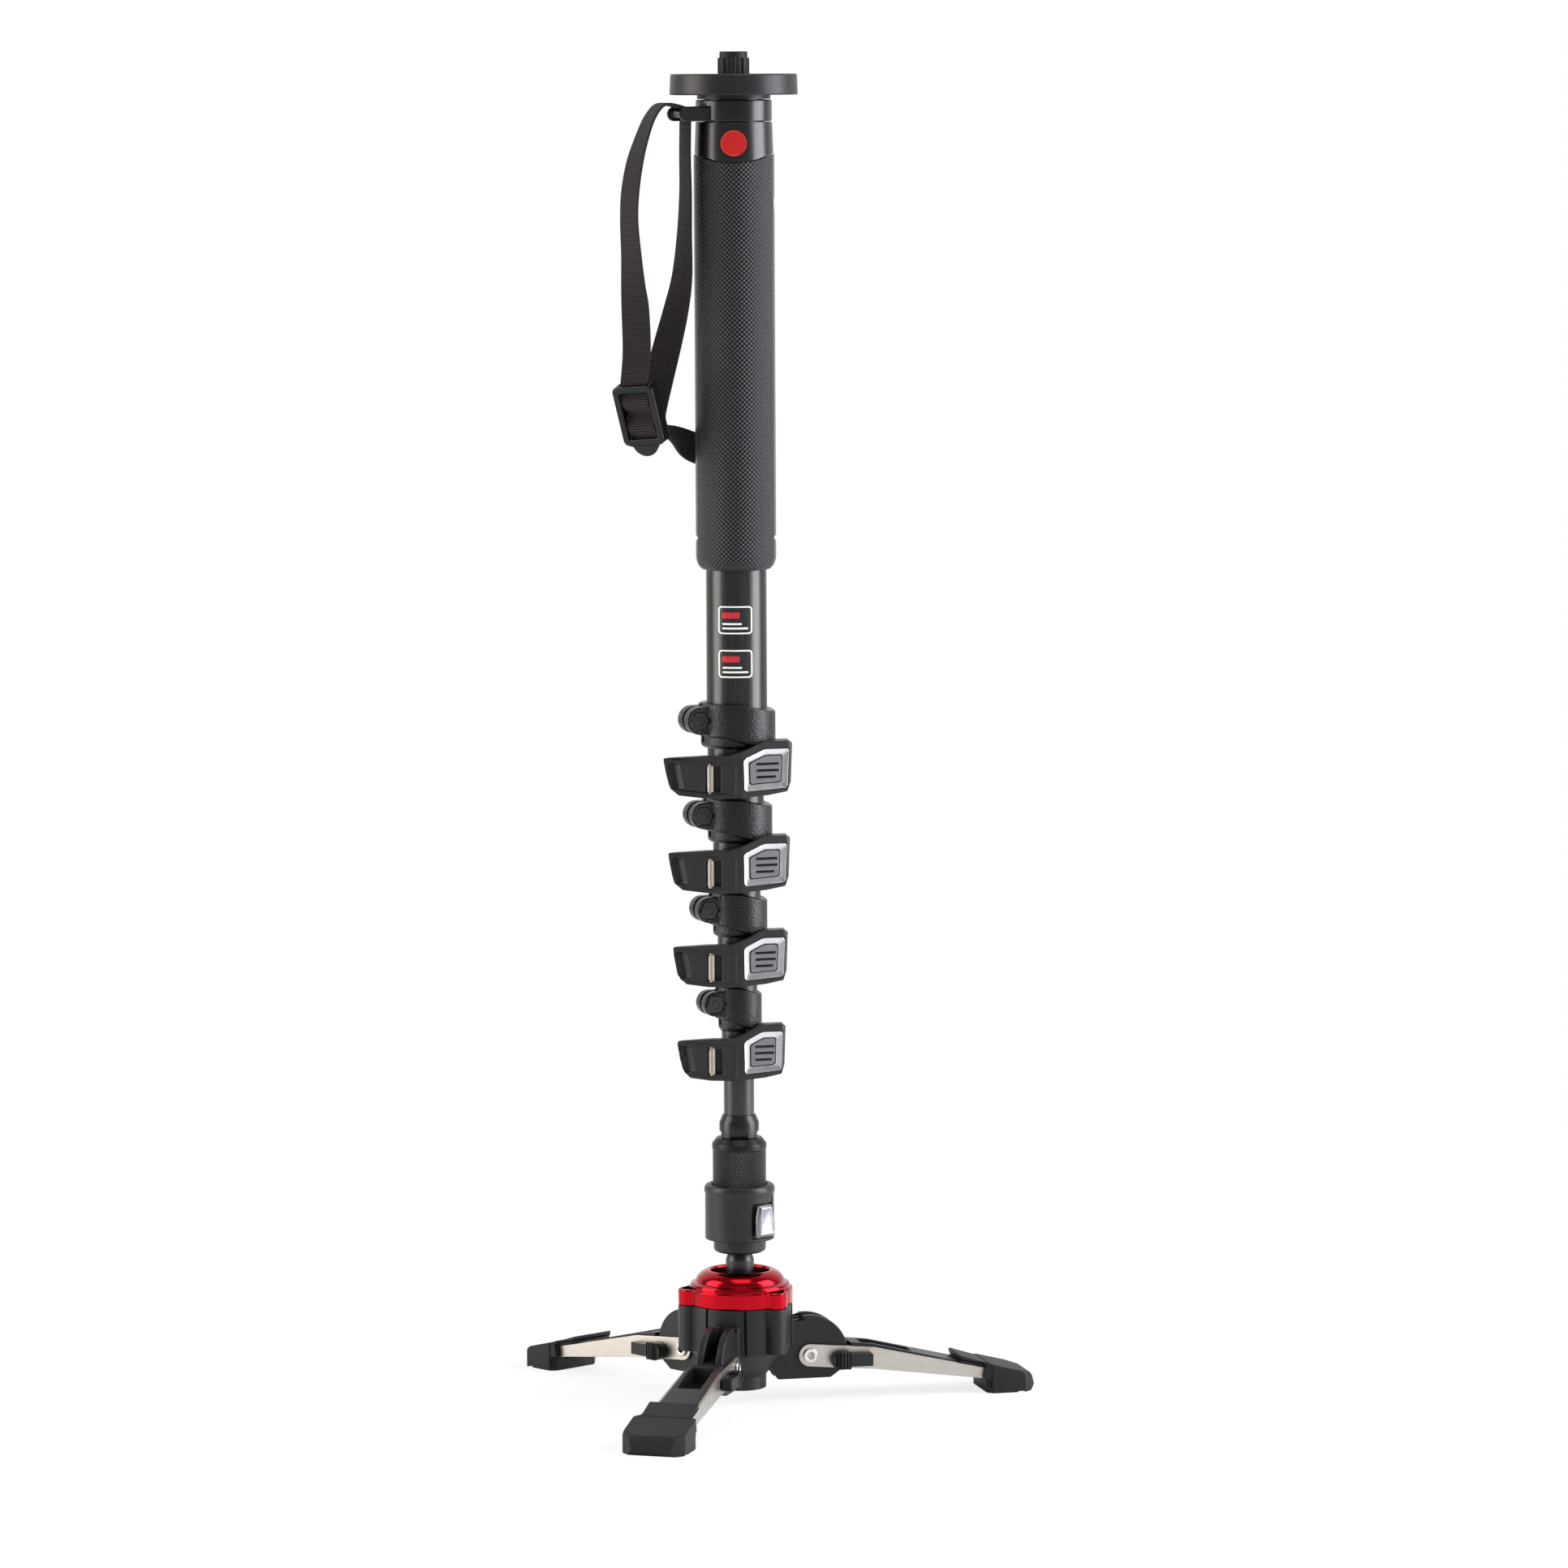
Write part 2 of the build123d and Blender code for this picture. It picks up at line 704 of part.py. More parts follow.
def make_lock_lever(n):
    """The flip lever: its plan and its front outline, hollowed for the collar and its lugs."""
    z = lock_z(n)
    left, right = lever_extents(n)
    front = lever_front(n)
    pivot = lever_pivot(n)
    inner = saddle_radius(n) + free_gap
    knee = radians(inner_knee_angle)
    facet = lever_facet(n)[0]
    with BuildPart() as lever:
        with BuildSketch(Plane.XY.offset(z - lever_bottom)):
            with BuildSketch(mode=Mode.ADD) as plan:
                Polygon(
                    (-left, -tip_depth_share * front), (crease_share * right, -front),
                    (right, -corner_depth_share * front), (right, pivot[1]), pivot, (0, 0),
                    (inner * cos(knee), inner * sin(knee)),
                    (-tip_inner_reach_share * left, -tip_inner_share * front),
                    align=None,
                )
                fillet(plan.vertices().group_by(Axis.X)[-1].sort_by(Axis.Y)[0], lever_corner)
            with Locations(pivot):
                Circle(lever_heel)
            Circle(inner, mode=Mode.SUBTRACT)
        extrude(amount=lever_bottom - lever_top)
        with BuildSketch(Plane.XZ):
            Polygon(*lever_outline(n), align=None)
        extrude(amount=front + overrun, both=True, mode=Mode.INTERSECT)
        # room for the neck ring and the band above
        round_bar(band_radii[n - 1] + free_gap, z - neck_ring_bottom - free_gap, z, Mode.SUBTRACT)
        # nothing of the raised end lies behind the pivot
        with BuildSketch(Plane.XY.offset(z - upper_lug_low - free_gap)):
            with Locations((right / 2, pivot[1] + front)):
                Rectangle(2 * right, 2 * front)
        extrude(amount=upper_lug_low + free_gap, mode=Mode.SUBTRACT)
        # slots for the two lugs, open on the side that turns past them
        far = 2 * lever_heel
        for low, high in ((lower_lug_low, lower_lug_high), (upper_lug_low, neck_ring_bottom)):
            with BuildSketch(Plane.XY.offset(z - low - free_gap)):
                with Locations(pivot):
                    Circle(lug_radius + free_gap)
                    Polygon(
                        (0, -lug_radius - free_gap), (far, 0), (far, far), (-far, far),
                        (-far, -lug_radius - free_gap), align=None,
                    )
            extrude(amount=low - high + 2 * free_gap, mode=Mode.SUBTRACT)
        with BuildSketch(Plane.XY.offset(z - lever_bottom + neck_ring_chamfer)):
            with Locations(pivot):
                Circle(pin_radius + slide_gap)
        extrude(amount=lever_bottom - neck_ring_chamfer - neck_ring_bottom + free_gap, mode=Mode.SUBTRACT)
        # window, with seats for the roller above and below it
        slope = (1 - tip_depth_share) * front / (left + crease_share * right)
        skin = -front + slope * (window_offset + crease_share * right)
        with BuildSketch(Plane.XZ.offset(-skin - window_depth)):
            with Locations((-window_offset, z - (window_top + window_bottom) / 2)):
                Rectangle(window_width, window_bottom - window_top)
        extrude(amount=window_depth + overrun, mode=Mode.SUBTRACT)
        with BuildSketch(Plane.XY.offset(z - window_bottom - roller_seat)):
            with Locations(roller_place(n)):
                Circle(roller_radius + press_gap)
        extrude(amount=window_bottom - window_top + 2 * roller_seat, mode=Mode.SUBTRACT)
        # pocket for the bright frame
        with BuildSketch(facet.offset(frame_proud - frame_thickness - press_gap)):
            Polygon(*frame_outline(n, press_gap), align=None)
        extrude(amount=frame_thickness + overrun, mode=Mode.SUBTRACT)
    lever.part.label = f"lock_lever_{n}"
    export_step(lever.part, f"parts/lock_lever_{n}.step")


def roller_place(n):
    """Where the roller stands, seen from above, just inside the lever's skin."""
    left, right = lever_extents(n)
    front = lever_front(n)
    slope = (1 - tip_depth_share) * front / (left + crease_share * right)
    skin = -front + slope * (window_offset + crease_share * right)
    return -roller_offset, skin + window_depth - roller_radius - press_gap


def make_lock_badge(n):
    """The bright four-sided frame on the facet, dished around a flat panel."""
    facet = lever_facet(n)[0]
    with BuildPart() as frame:
        with BuildSketch(facet.offset(frame_proud - frame_thickness)):
            Polygon(*frame_outline(n), align=None)
        extrude(amount=frame_thickness)
        with BuildSketch(facet.offset(frame_proud - frame_thickness / 2)):
            Polygon(*frame_outline(n, -lug_radius), align=None)
        extrude(amount=frame_thickness, mode=Mode.SUBTRACT)
    frame.part.label = f"lock_badge_{n}"
    export_step(frame.part, f"parts/lock_badge_{n}.step")


def make_lock_roller(n):
    """The steel barrel pin in the lever's window."""
    z = lock_z(n)
    with BuildPart() as roller:
        with BuildSketch(Plane.XY.offset(z - window_bottom - roller_seat + press_gap)):
            with Locations(roller_place(n)):
                Circle(roller_radius)
        extrude(amount=window_bottom - window_top + 2 * roller_seat - 2 * press_gap)
    roller.part.label = f"lock_roller_{n}"
    export_step(roller.part, f"parts/lock_roller_{n}.step")


for number in range(1, lock_count + 1):
    make_lock_collar(number)
    make_lock_liner(number)
    make_lock_fasteners(number)
    make_lock_lever(number)
    make_lock_badge(number)
    make_lock_roller(number)


# Foot socket on the last tube, with the screw that joins it to the stem
with BuildPart() as socket:
    turn(
        (0, socket_bottom), (socket_radius, socket_bottom), (socket_radius, socket_top - socket_cone),
        (socket_lip, socket_top), (0, socket_top),
    )
    round_bar(tube_radius(section_count) + press_gap, socket_seat, socket_top + overrun, Mode.SUBTRACT)
    round_bar(socket_screw_radius, socket_bottom - socket_screw_length, socket_bottom)
socket.part.label = "foot_socket"
export_step(socket.part, "parts/foot_socket.step")

# Knurled coupling sleeve
with BuildPart() as sleeve:
    turn(
        (stem_radius + press_gap, sleeve_bottom), (sleeve_radius, sleeve_bottom),
        (sleeve_radius, socket_bottom - sleeve_chamfer),
        (sleeve_radius - 2 * sleeve_chamfer, socket_bottom - press_gap),
        (stem_radius + press_gap, socket_bottom - press_gap),
    )
sleeve.part.label = "knurled_sleeve"
export_step(sleeve.part, "parts/knurled_sleeve.step")


# Tilt-lock collar and its release button
def button_plane(distance):
    """A plane square to the button's travel, at a distance from the axis: x across, y up."""
    a = radians(button_angle)
    return Plane(
        origin=(distance * cos(a), distance * sin(a), (button_high + button_low) / 2),
        x_dir=(-sin(a), cos(a), 0), z_dir=(cos(a), sin(a), 0),
    )


with BuildPart() as tilt_collar:
    collar_floor = collar_top - collar_bore_depth
    turn(
        (stem_radius + free_gap, collar_step_bottom),
        (collar_step_radius - collar_step_edge, collar_step_bottom),
        (collar_step_radius, collar_step_bottom + collar_step_edge),
        (collar_step_radius, collar_bottom), (collar_radius, collar_bottom),
        (collar_radius, collar_top - collar_edge), (collar_radius - collar_edge, collar_top),
        (sleeve_radius + free_gap, collar_top), (sleeve_radius + free_gap, collar_floor),
        (stem_radius + free_gap, collar_floor),
    )
    with BuildSketch(button_plane(button_inner - button_travel - free_gap)):
        Rectangle(button_width + 2 * free_gap, button_high - button_low + 2 * free_gap)
    extrude(amount=collar_radius, mode=Mode.SUBTRACT)
tilt_collar.part.label = "tilt_lock_collar"
export_step(tilt_collar.part, "parts/tilt_lock_collar.step")

with BuildPart() as button:
    with BuildSketch(button_plane(button_inner)):
        Rectangle(button_width, button_high - button_low)
    extrude(amount=button_outer - button_inner)
    chamfer(button.faces().sort_by(Axis((0, 0, 0), (
        cos(radians(button_angle)), sin(radians(button_angle)), 0)))[-1].edges(), length=button_bevel)
button.part.label = "release_button"
export_step(button.part, "parts/release_button.step")

# Ball stem
with BuildPart() as ball_stem:
    with Locations((0, 0, ball_height)):
        Sphere(ball_radius)
    turn(
        (0, ball_height), (stem_radius, ball_height), (stem_radius, stem_neck_height - stem_neck_slope),
        (stem_neck_radius, stem_neck_height), (stem_radius, stem_neck_height + stem_neck_slope),
        (stem_radius, socket_bottom - press_gap), (0, socket_bottom - press_gap),
    )
    round_bar(socket_screw_radius + press_gap, socket_bottom - socket_screw_length - press_gap,
              socket_bottom + overrun, Mode.SUBTRACT)
ball_stem.part.label = "ball_stem"
export_step(ball_stem.part, "parts/ball_stem.step")

# Cradle round the ball, and the rotor that carries it
with BuildPart() as cradle:
    with Locations((0, 0, ball_height)):
        Sphere(ball_radius + slide_gap + cradle_wall)
        Sphere(ball_radius + slide_gap, mode=Mode.SUBTRACT)
    round_bar(cradle_mouth, ball_height, ball_height + 2 * ball_radius, Mode.SUBTRACT)
    round_bar(cradle_foot, ball_height - 2 * ball_radius, ball_height, Mode.SUBTRACT)
cradle.part.label = "tilt_cradle"
export_step(cradle.part, "parts/tilt_cradle.step")

rotor_low = ball_height - rotor_down
rotor_high = ball_height + rotor_up
with BuildPart() as rotor:
    round_bar(rotor_radius, rotor_low, rotor_high)
    with Locations((0, 0, ball_height)):
        Sphere(ball_radius + cradle_wall + 2 * slide_gap, mode=Mode.SUBTRACT)
rotor.part.label = "pan_rotor"
export_step(rotor.part, "parts/pan_rotor.step")


# Red retaining ring and hub, both with three round lobes between the legs
def lobed_disc(radius):
    """A disc with three lobes, halfway between the legs."""
    Circle(radius)
    with PolarLocations(red_ring_lug_reach, leg_count, start_angle=leg_angle + 180.0 / leg_count):
        Circle(red_ring_lug_radius)


with BuildPart() as red_ring:
    with BuildSketch(Plane.XY.offset(red_ring_bottom)):
        lobed_disc(red_ring_flange_radius)
    extrude(amount=red_ring_flange_top - red_ring_bottom)
    turn(
        (0, red_ring_bottom), (red_ring_tier_radius, red_ring_bottom),
        (red_ring_tier_radius, red_ring_tier_height), (red_ring_lip, red_ring_top), (0, red_ring_top),
    )
    round_bar(red_ring_hole, red_ring_bottom - overrun, red_ring_top + overrun, Mode.SUBTRACT)
    round_bar(rotor_radius + free_gap, red_ring_bottom - overrun, rotor_high + free_gap, Mode.SUBTRACT)
red_ring.part.label = "retaining_ring"
export_step(red_ring.part, "parts/retaining_ring.step")


def leg_heading(k):
    return leg_angle + k * 360.0 / leg_count


def leg_plane(k, shift=0):
    """Leg k's upright plane: x outward from the axis, y up, shifted sideways."""
    return arm_plane(leg_heading(k), 0).offset(shift)


with BuildPart() as hub:
    with BuildSketch(Plane.XY.offset(hub_skirt)):
        lobed_disc(hub_radius)
    extrude(amount=red_ring_bottom - hub_skirt)
    turn(
        (0, hub_boss_bottom), (hub_boss_radius, hub_boss_bottom), (hub_boss_radius, hub_boss_top),
        (hub_radius, hub_skirt), (0, hub_skirt),
    )
    for k in range(leg_count):
        for side in (-1, 1):
            outer = leg_half_width - leg_plate - free_gap
            shift = outer - ear_plate_thickness if side > 0 else -outer
            with BuildSketch(leg_plane(k, shift)) as ear_plate:
                with Locations((leg_pivot_reach, leg_pivot_height)):
                    Circle(ear_plate_radius)
                with BuildSketch(mode=Mode.INTERSECT):
                    Polygon(
                        (leg_pivot_reach - ear_plate_radius, ear_plate_tail),
                        (ear_plate_tail_reach, ear_plate_tail),
                        (leg_pivot_reach + ear_plate_radius, leg_pivot_height - leg_eye_radius),
                        (leg_pivot_reach + ear_plate_radius, ear_plate_top),
                        (leg_pivot_reach - ear_plate_radius, ear_plate_top), align=None,
                    )
            extrude(amount=ear_plate_thickness)
        with BuildSketch(leg_plane(k)):
            with Locations((leg_pivot_reach, leg_pivot_height)):
                Circle(leg_pin_radius + press_gap)
        extrude(amount=leg_half_width, both=True, mode=Mode.SUBTRACT)
    round_bar(rotor_radius + free_gap, rotor_low - free_gap, red_ring_bottom + overrun, Mode.SUBTRACT)
hub.part.label = "base_hub"
export_step(hub.part, "parts/base_hub.step")

with BuildPart() as leg_pins:
    for k in range(leg_count):
        with BuildSketch(leg_plane(k)):
            with Locations((leg_pivot_reach, leg_pivot_height)):
                Circle(leg_pin_radius)
        extrude(amount=leg_half_width + free_gap + leg_pin_head, both=True)
        for side in (-1, 1):
            face = leg_half_width + free_gap
            with BuildSketch(leg_plane(k, face if side > 0 else -face - leg_pin_head)):
                with Locations((leg_pivot_reach, leg_pivot_height)):
                    Circle(leg_pin_head_radius)
            extrude(amount=leg_pin_head)
leg_pins.part.label = "leg_pins"
export_step(leg_pins.part, "parts/leg_pins.step")


# Legs
def leg_edge(reach, top):
    """Height of the steel plates' top or bottom edge at a distance from the axis."""
    if top:
        return leg_knee_top + (reach - leg_knee_reach) * (leg_end_top - leg_knee_top) / (
            leg_end_reach - leg_knee_reach)
    return leg_knee_bottom + (reach - leg_knee_reach) * (leg_end_bottom - leg_knee_bottom) / (
        leg_end_reach - leg_knee_reach)


def leg_half_at(reach):
    """Half the leg's outer width at a distance from the axis."""
    return leg_half_width + (reach - leg_pivot_reach) * tan(radians(leg_spread))


def latch_side(k):
    """The side of leg k that carries its latch."""
    return 1 if k == 0 else -1


def spread_plane(k, side):
    """The inner face of one steel plate: it leans out from the pivot by the leg's spread."""
    heading = radians(leg_heading(k) - side * leg_spread)
    a = radians(leg_heading(k))
    outward = (sin(a) * side, -cos(a) * side)
    inner = leg_half_width - leg_plate
    origin = (
        leg_pivot_reach * cos(a) + inner * outward[0],
        leg_pivot_reach * sin(a) + inner * outward[1], 0,
    )
    outward_dir = (cos(heading), sin(heading), 0)
    return Plane(origin=origin, x_dir=outward_dir, z_dir=(sin(heading), -cos(heading), 0))


def make_leg_plates(k):
    """The two steel side plates of leg k."""
    with BuildPart() as plates:
        for side in (-1, 1):
            with BuildSketch(spread_plane(k, side)):
                Polygon(
                    (0, leg_pivot_height + leg_eye_radius), (leg_knee_reach - leg_pivot_reach, leg_knee_top),
                    (leg_end_reach - leg_pivot_reach, leg_end_top),
                    (leg_end_reach - leg_pivot_reach, leg_end_bottom),
                    (leg_knee_reach - leg_pivot_reach, leg_knee_bottom),
                    (0, leg_pivot_height - leg_eye_radius), align=None,
                )
                with Locations((0, leg_pivot_height)):
                    Circle(leg_eye_radius)
                    Circle(leg_pin_radius + free_gap, mode=Mode.SUBTRACT)
                if side == latch_side(k):
                    slot_low = latch_tongue_start - free_gap
                    slot_high = latch_tongue_start + latch_tongue_length + latch_travel + free_gap
                    slot_half = latch_tongue_half + free_gap
                    with Locations(((slot_low + slot_high) / 2, leg_pivot_height - latch_drop)):
                        Rectangle(slot_high - slot_low, 2 * slot_half, mode=Mode.SUBTRACT)
            extrude(amount=side * leg_plate)
    plates.part.label = f"leg_plates_{k + 1}"
    export_step(plates.part, f"parts/leg_plates_{k + 1}.step")


def make_leg_spar(k):
    """The plastic spar between the plates: tongue, pocketed beam and tenon."""
    start = leg_pivot_reach + spar_start
    inner = leg_plate + press_gap
    with BuildPart() as spar:
        with BuildSketch(leg_plane(k)):
            Polygon(
                (start, leg_edge(start, True)), (leg_knee_reach, leg_knee_top + spar_rise),
                (leg_end_reach - spar_rise, leg_end_top + spar_rise / 2), (leg_end_reach, leg_end_top),
                (leg_end_reach, leg_end_bottom), (leg_knee_reach, leg_knee_bottom + spar_rise),
                (start, leg_edge(start, False)), align=None,
            )
        extrude(amount=leg_half_at(leg_end_reach), both=True)
        a = radians(leg_heading(k))
        with BuildSketch(Plane(origin=(0, 0, 0), x_dir=(cos(a), sin(a), 0), z_dir=(0, 0, 1))):
            near = leg_half_at(start) - inner
            far = leg_half_at(leg_end_reach) - inner
            Polygon((start, -near), (leg_end_reach, -far), (leg_end_reach, far), (start, near), align=None)
        extrude(amount=leg_knee_top + 2 * spar_rise, mode=Mode.INTERSECT)
        # top pocket
        pocket = start + spar_pocket_start + spar_pocket_length / 2
        with BuildSketch(leg_plane(k)):
            with Locations((pocket, leg_edge(pocket, True) + spar_pocket_depth)):
                Rectangle(spar_pocket_length, 4 * spar_pocket_depth)
        extrude(amount=leg_half_at(start) - inner - spar_pocket_wall, both=True, mode=Mode.SUBTRACT)
        # clearance for the latch's tongue
        side = latch_side(k)
        slot_low = leg_pivot_reach + latch_tongue_start - 2 * free_gap
        slot_length = latch_tongue_length + latch_travel + 4 * free_gap
        with BuildSketch(leg_plane(k, side * (leg_half_at(slot_low) - inner - latch_tongue_depth))):
            with Locations((slot_low + slot_length / 2, leg_pivot_height - latch_drop)):
                Rectangle(slot_length, 2 * latch_tongue_half + 4 * free_gap)
        extrude(amount=side * (latch_tongue_depth + overrun), mode=Mode.SUBTRACT)
        # tongue between the hub's ears, and tenon in the foot
        with BuildSketch(leg_plane(k)):
            with Locations((leg_pivot_reach, leg_pivot_height)):
                Circle(leg_eye_radius)
            Polygon(
                (leg_pivot_reach, leg_pivot_height + leg_eye_radius), (start, leg_edge(start, True)),
                (start, leg_edge(start, False)), (leg_pivot_reach, leg_pivot_height - leg_eye_radius),
                align=None,
            )
            with Locations((leg_pivot_reach, leg_pivot_height)):
                Circle(leg_pin_radius + free_gap, mode=Mode.SUBTRACT)
        extrude(amount=spar_tongue_half, both=True)
        with BuildSketch(leg_plane(k)):
            mid = (leg_end_top + leg_end_bottom) / 2 - spar_tenon_height / 2
            with Locations((leg_end_reach + spar_tenon_length / 2, mid)):
                Rectangle(spar_tenon_length, spar_tenon_height)
        extrude(amount=spar_tenon_half, both=True)
    spar.part.label = f"leg_spar_{k + 1}"
    export_step(spar.part, f"parts/leg_spar_{k + 1}.step")


def make_leg_foot(k):
    """The rubber foot: a shoe with a hump that runs up over the spar."""
    a = radians(leg_heading(k))
    plan = Plane(origin=(0, 0, 0), x_dir=(cos(a), sin(a), 0), z_dir=(0, 0, 1))
    with BuildPart() as foot:
        with BuildSketch(leg_plane(k)):
            roof = spar_rise + free_gap
            Polygon(
                (leg_end_reach + press_gap, 0), (foot_tip_reach - foot_corner / 3, 0),
                (foot_tip_reach, foot_corner / 2),
                (foot_tip_reach - foot_corner / 3, foot_tip_top), (leg_end_reach, foot_top),
                (foot_hump_reach, leg_edge(foot_hump_reach, True) + 3 * spar_rise),
                (foot_hump_reach, leg_edge(foot_hump_reach, True) + roof),
                (leg_end_reach + press_gap, leg_end_top + roof), align=None,
            )
        extrude(amount=foot_half_width, both=True)
        with BuildSketch(plan):
            Polygon(
                (foot_hump_reach, -foot_heel_half), (leg_end_reach, -foot_heel_half),
                (leg_end_reach + foot_corner / 2, -foot_half_width),
                (foot_tip_reach - foot_corner, -foot_half_width),
                (foot_tip_reach, foot_corner - foot_half_width),
                (foot_tip_reach, foot_half_width - foot_corner),
                (foot_tip_reach - foot_corner, foot_half_width),
                (leg_end_reach + foot_corner / 2, foot_half_width),
                (leg_end_reach, foot_heel_half), (foot_hump_reach, foot_heel_half), align=None,
            )
        extrude(amount=2 * foot_top, mode=Mode.INTERSECT)
        with BuildSketch(leg_plane(k)):
            mid = (leg_end_top + leg_end_bottom) / 2 - spar_tenon_height / 2
            with Locations((leg_end_reach + spar_tenon_length / 2, mid)):
                Rectangle(spar_tenon_length + 2 * press_gap, spar_tenon_height + 2 * press_gap)
        extrude(amount=spar_tenon_half + press_gap, both=True, mode=Mode.SUBTRACT)
        with BuildSketch(leg_plane(k)):
            with Locations((foot_tip_reach - foot_corner - foot_notch_half, 0)):
                Rectangle(2 * foot_notch_half, 2 * foot_notch)
        extrude(amount=foot_half_width, both=True, mode=Mode.SUBTRACT)
    foot.part.label = f"leg_foot_{k + 1}"
    export_step(foot.part, f"parts/leg_foot_{k + 1}.step")


def make_leg_latch(k):
    """The thumb latch outside one plate, with its tongue through the plate's slot."""
    side = latch_side(k)
    face = leg_half_at(leg_pivot_reach + latch_start + latch_length) + free_gap
    mid = leg_pivot_height - latch_drop
    low = leg_pivot_reach + latch_start
    waist = low + latch_waist_share * latch_length
    with BuildPart() as latch:
        with BuildSketch(leg_plane(k, side * face)):
            with Locations((low + latch_half_height, mid)):
                Circle(latch_half_height)
            with Locations(((low + latch_half_height + waist) / 2, mid)):
                Rectangle(waist - low - latch_half_height, 2 * latch_half_height)
            with Locations(((waist + low + latch_length) / 2, mid)):
                Rectangle(low + latch_length - waist, 2 * latch_half_height - 2 * spar_rise)
        extrude(amount=side * latch_depth)
        reach = face - leg_half_at(leg_pivot_reach + latch_tongue_start) + leg_plate + latch_tongue_depth / 2
        with BuildSketch(leg_plane(k, side * face)):
            with Locations((leg_pivot_reach + latch_tongue_start + latch_tongue_length / 2, mid)):
                Rectangle(latch_tongue_length, 2 * latch_tongue_half)
        extrude(amount=-side * reach)
    latch.part.label = f"leg_latch_{k + 1}"
    export_step(latch.part, f"parts/leg_latch_{k + 1}.step")


for number in range(leg_count):
    make_leg_plates(number)
    make_leg_spar(number)
    make_leg_foot(number)
    make_leg_latch(number)


# Wrist strap: one ribbon through buckle and ring, twisting as it hangs, and its loose tail
bar_place = eye.from_local_coords((ring_arm_reach, 0, 0))


def strap_place(share):
    """A point of the strap's route, from its shares of the drop."""
    return bar_place + Vector(*share) * strap_drop


lean = radians(buckle_lean)
to_left = Vector(cos(radians(buckle_turn)), sin(radians(buckle_turn)), 0)
rail_up = to_left * sin(lean) + Vector(0, 0, cos(lean))
to_right = Vector(0, 0, 1) * sin(lean) - to_left * cos(lean)
buckle_middle = strap_place(buckle_share)
route = [
    (buckle_middle - rail_up * (buckle_height / 2 - buckle_bar / 2), -to_right),
    (buckle_middle + rail_up * (buckle_height / 2), -to_right),
]
for right, back, up, width in loop_route_share:
    across = Vector(cos(radians(width)), sin(radians(width)), 0)
    route.append((strap_place((right, back, up)), across))
for place, width in tail_route_share:
    route.append((strap_place(place), Vector(*width)))

strap_length = 0
with BuildPart() as strap:
    for index, (place, width) in enumerate(route):
        before = route[max(index - 1, 0)][0]
        after = route[min(index + 1, len(route) - 1)][0]
        strap_length += (place - before).length
        along = (after - before).normalized()
        across = (width - along * width.dot(along)).normalized()
        with BuildSketch(Plane(origin=place, x_dir=across, z_dir=along)):
            Rectangle(strap_width, strap_thickness)
    loft(ruled=True)
strap.part.label = "wrist_strap"
export_step(strap.part, "parts/wrist_strap.step")
print("wrist strap", round(strap_length), "mm long; volume over section times length",
      round(strap.part.volume / (strap_length * strap_width * strap_thickness), 3))

# Buckle: two rails, a middle bar behind the strap, a top and a bottom bar in front of it
buckle_plane = Plane(origin=buckle_middle, x_dir=to_right, z_dir=to_right.cross(rail_up))
bar_gap = strap_thickness / 2 + free_gap
window_half = strap_width / 2 + 2 * free_gap
with BuildPart() as buckle:
    for side in (-1, 1):
        with BuildSketch(buckle_plane):
            with Locations((side * (window_half + buckle_rail / 2), 0)):
                RectangleRounded(buckle_rail, buckle_height, buckle_rail / 2 - press_gap)
        extrude(amount=buckle_half_depth, both=True)
    for height in (-1, 1):
        with BuildSketch(buckle_plane.offset(bar_gap)):
            with Locations((0, height * (buckle_height - buckle_bar) / 2)):
                Rectangle(2 * window_half + buckle_rail, buckle_bar)
        extrude(amount=buckle_half_depth - bar_gap)
    with BuildSketch(buckle_plane.offset(-bar_gap)):
        Rectangle(2 * window_half + buckle_rail, buckle_bar)
    extrude(amount=bar_gap - buckle_half_depth)
    with BuildSketch(buckle_plane.offset(bar_gap)):
        with Locations((0, (buckle_bar - buckle_height) / 2)):
            Circle(buckle_tongue_radius)
            with Locations((0, buckle_tongue_radius)):
                Rectangle(2 * buckle_tongue_radius, 2 * buckle_tongue_radius, mode=Mode.SUBTRACT)
    extrude(amount=buckle_tongue_thickness)
buckle.part.label = "strap_buckle"
export_step(buckle.part, "parts/strap_buckle.step")
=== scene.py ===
# %% [markdown]
# # A video monopod on its own three feet
#
# The real object is about 67 cm tall when it is pushed together: five carbon tubes that
# slide into each other, four flip locks, a rubber grip, and a ball in a small base with
# three folding legs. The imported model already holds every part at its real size, so this
# lesson dresses it: it gives each part the surface that its material has, and models again
# the parts whose moulded shape is softer than the plain solids.

import json
import math

import bmesh
import bpy
from mathutils import Matrix, Vector
from mathutils.bvhtree import BVHTree

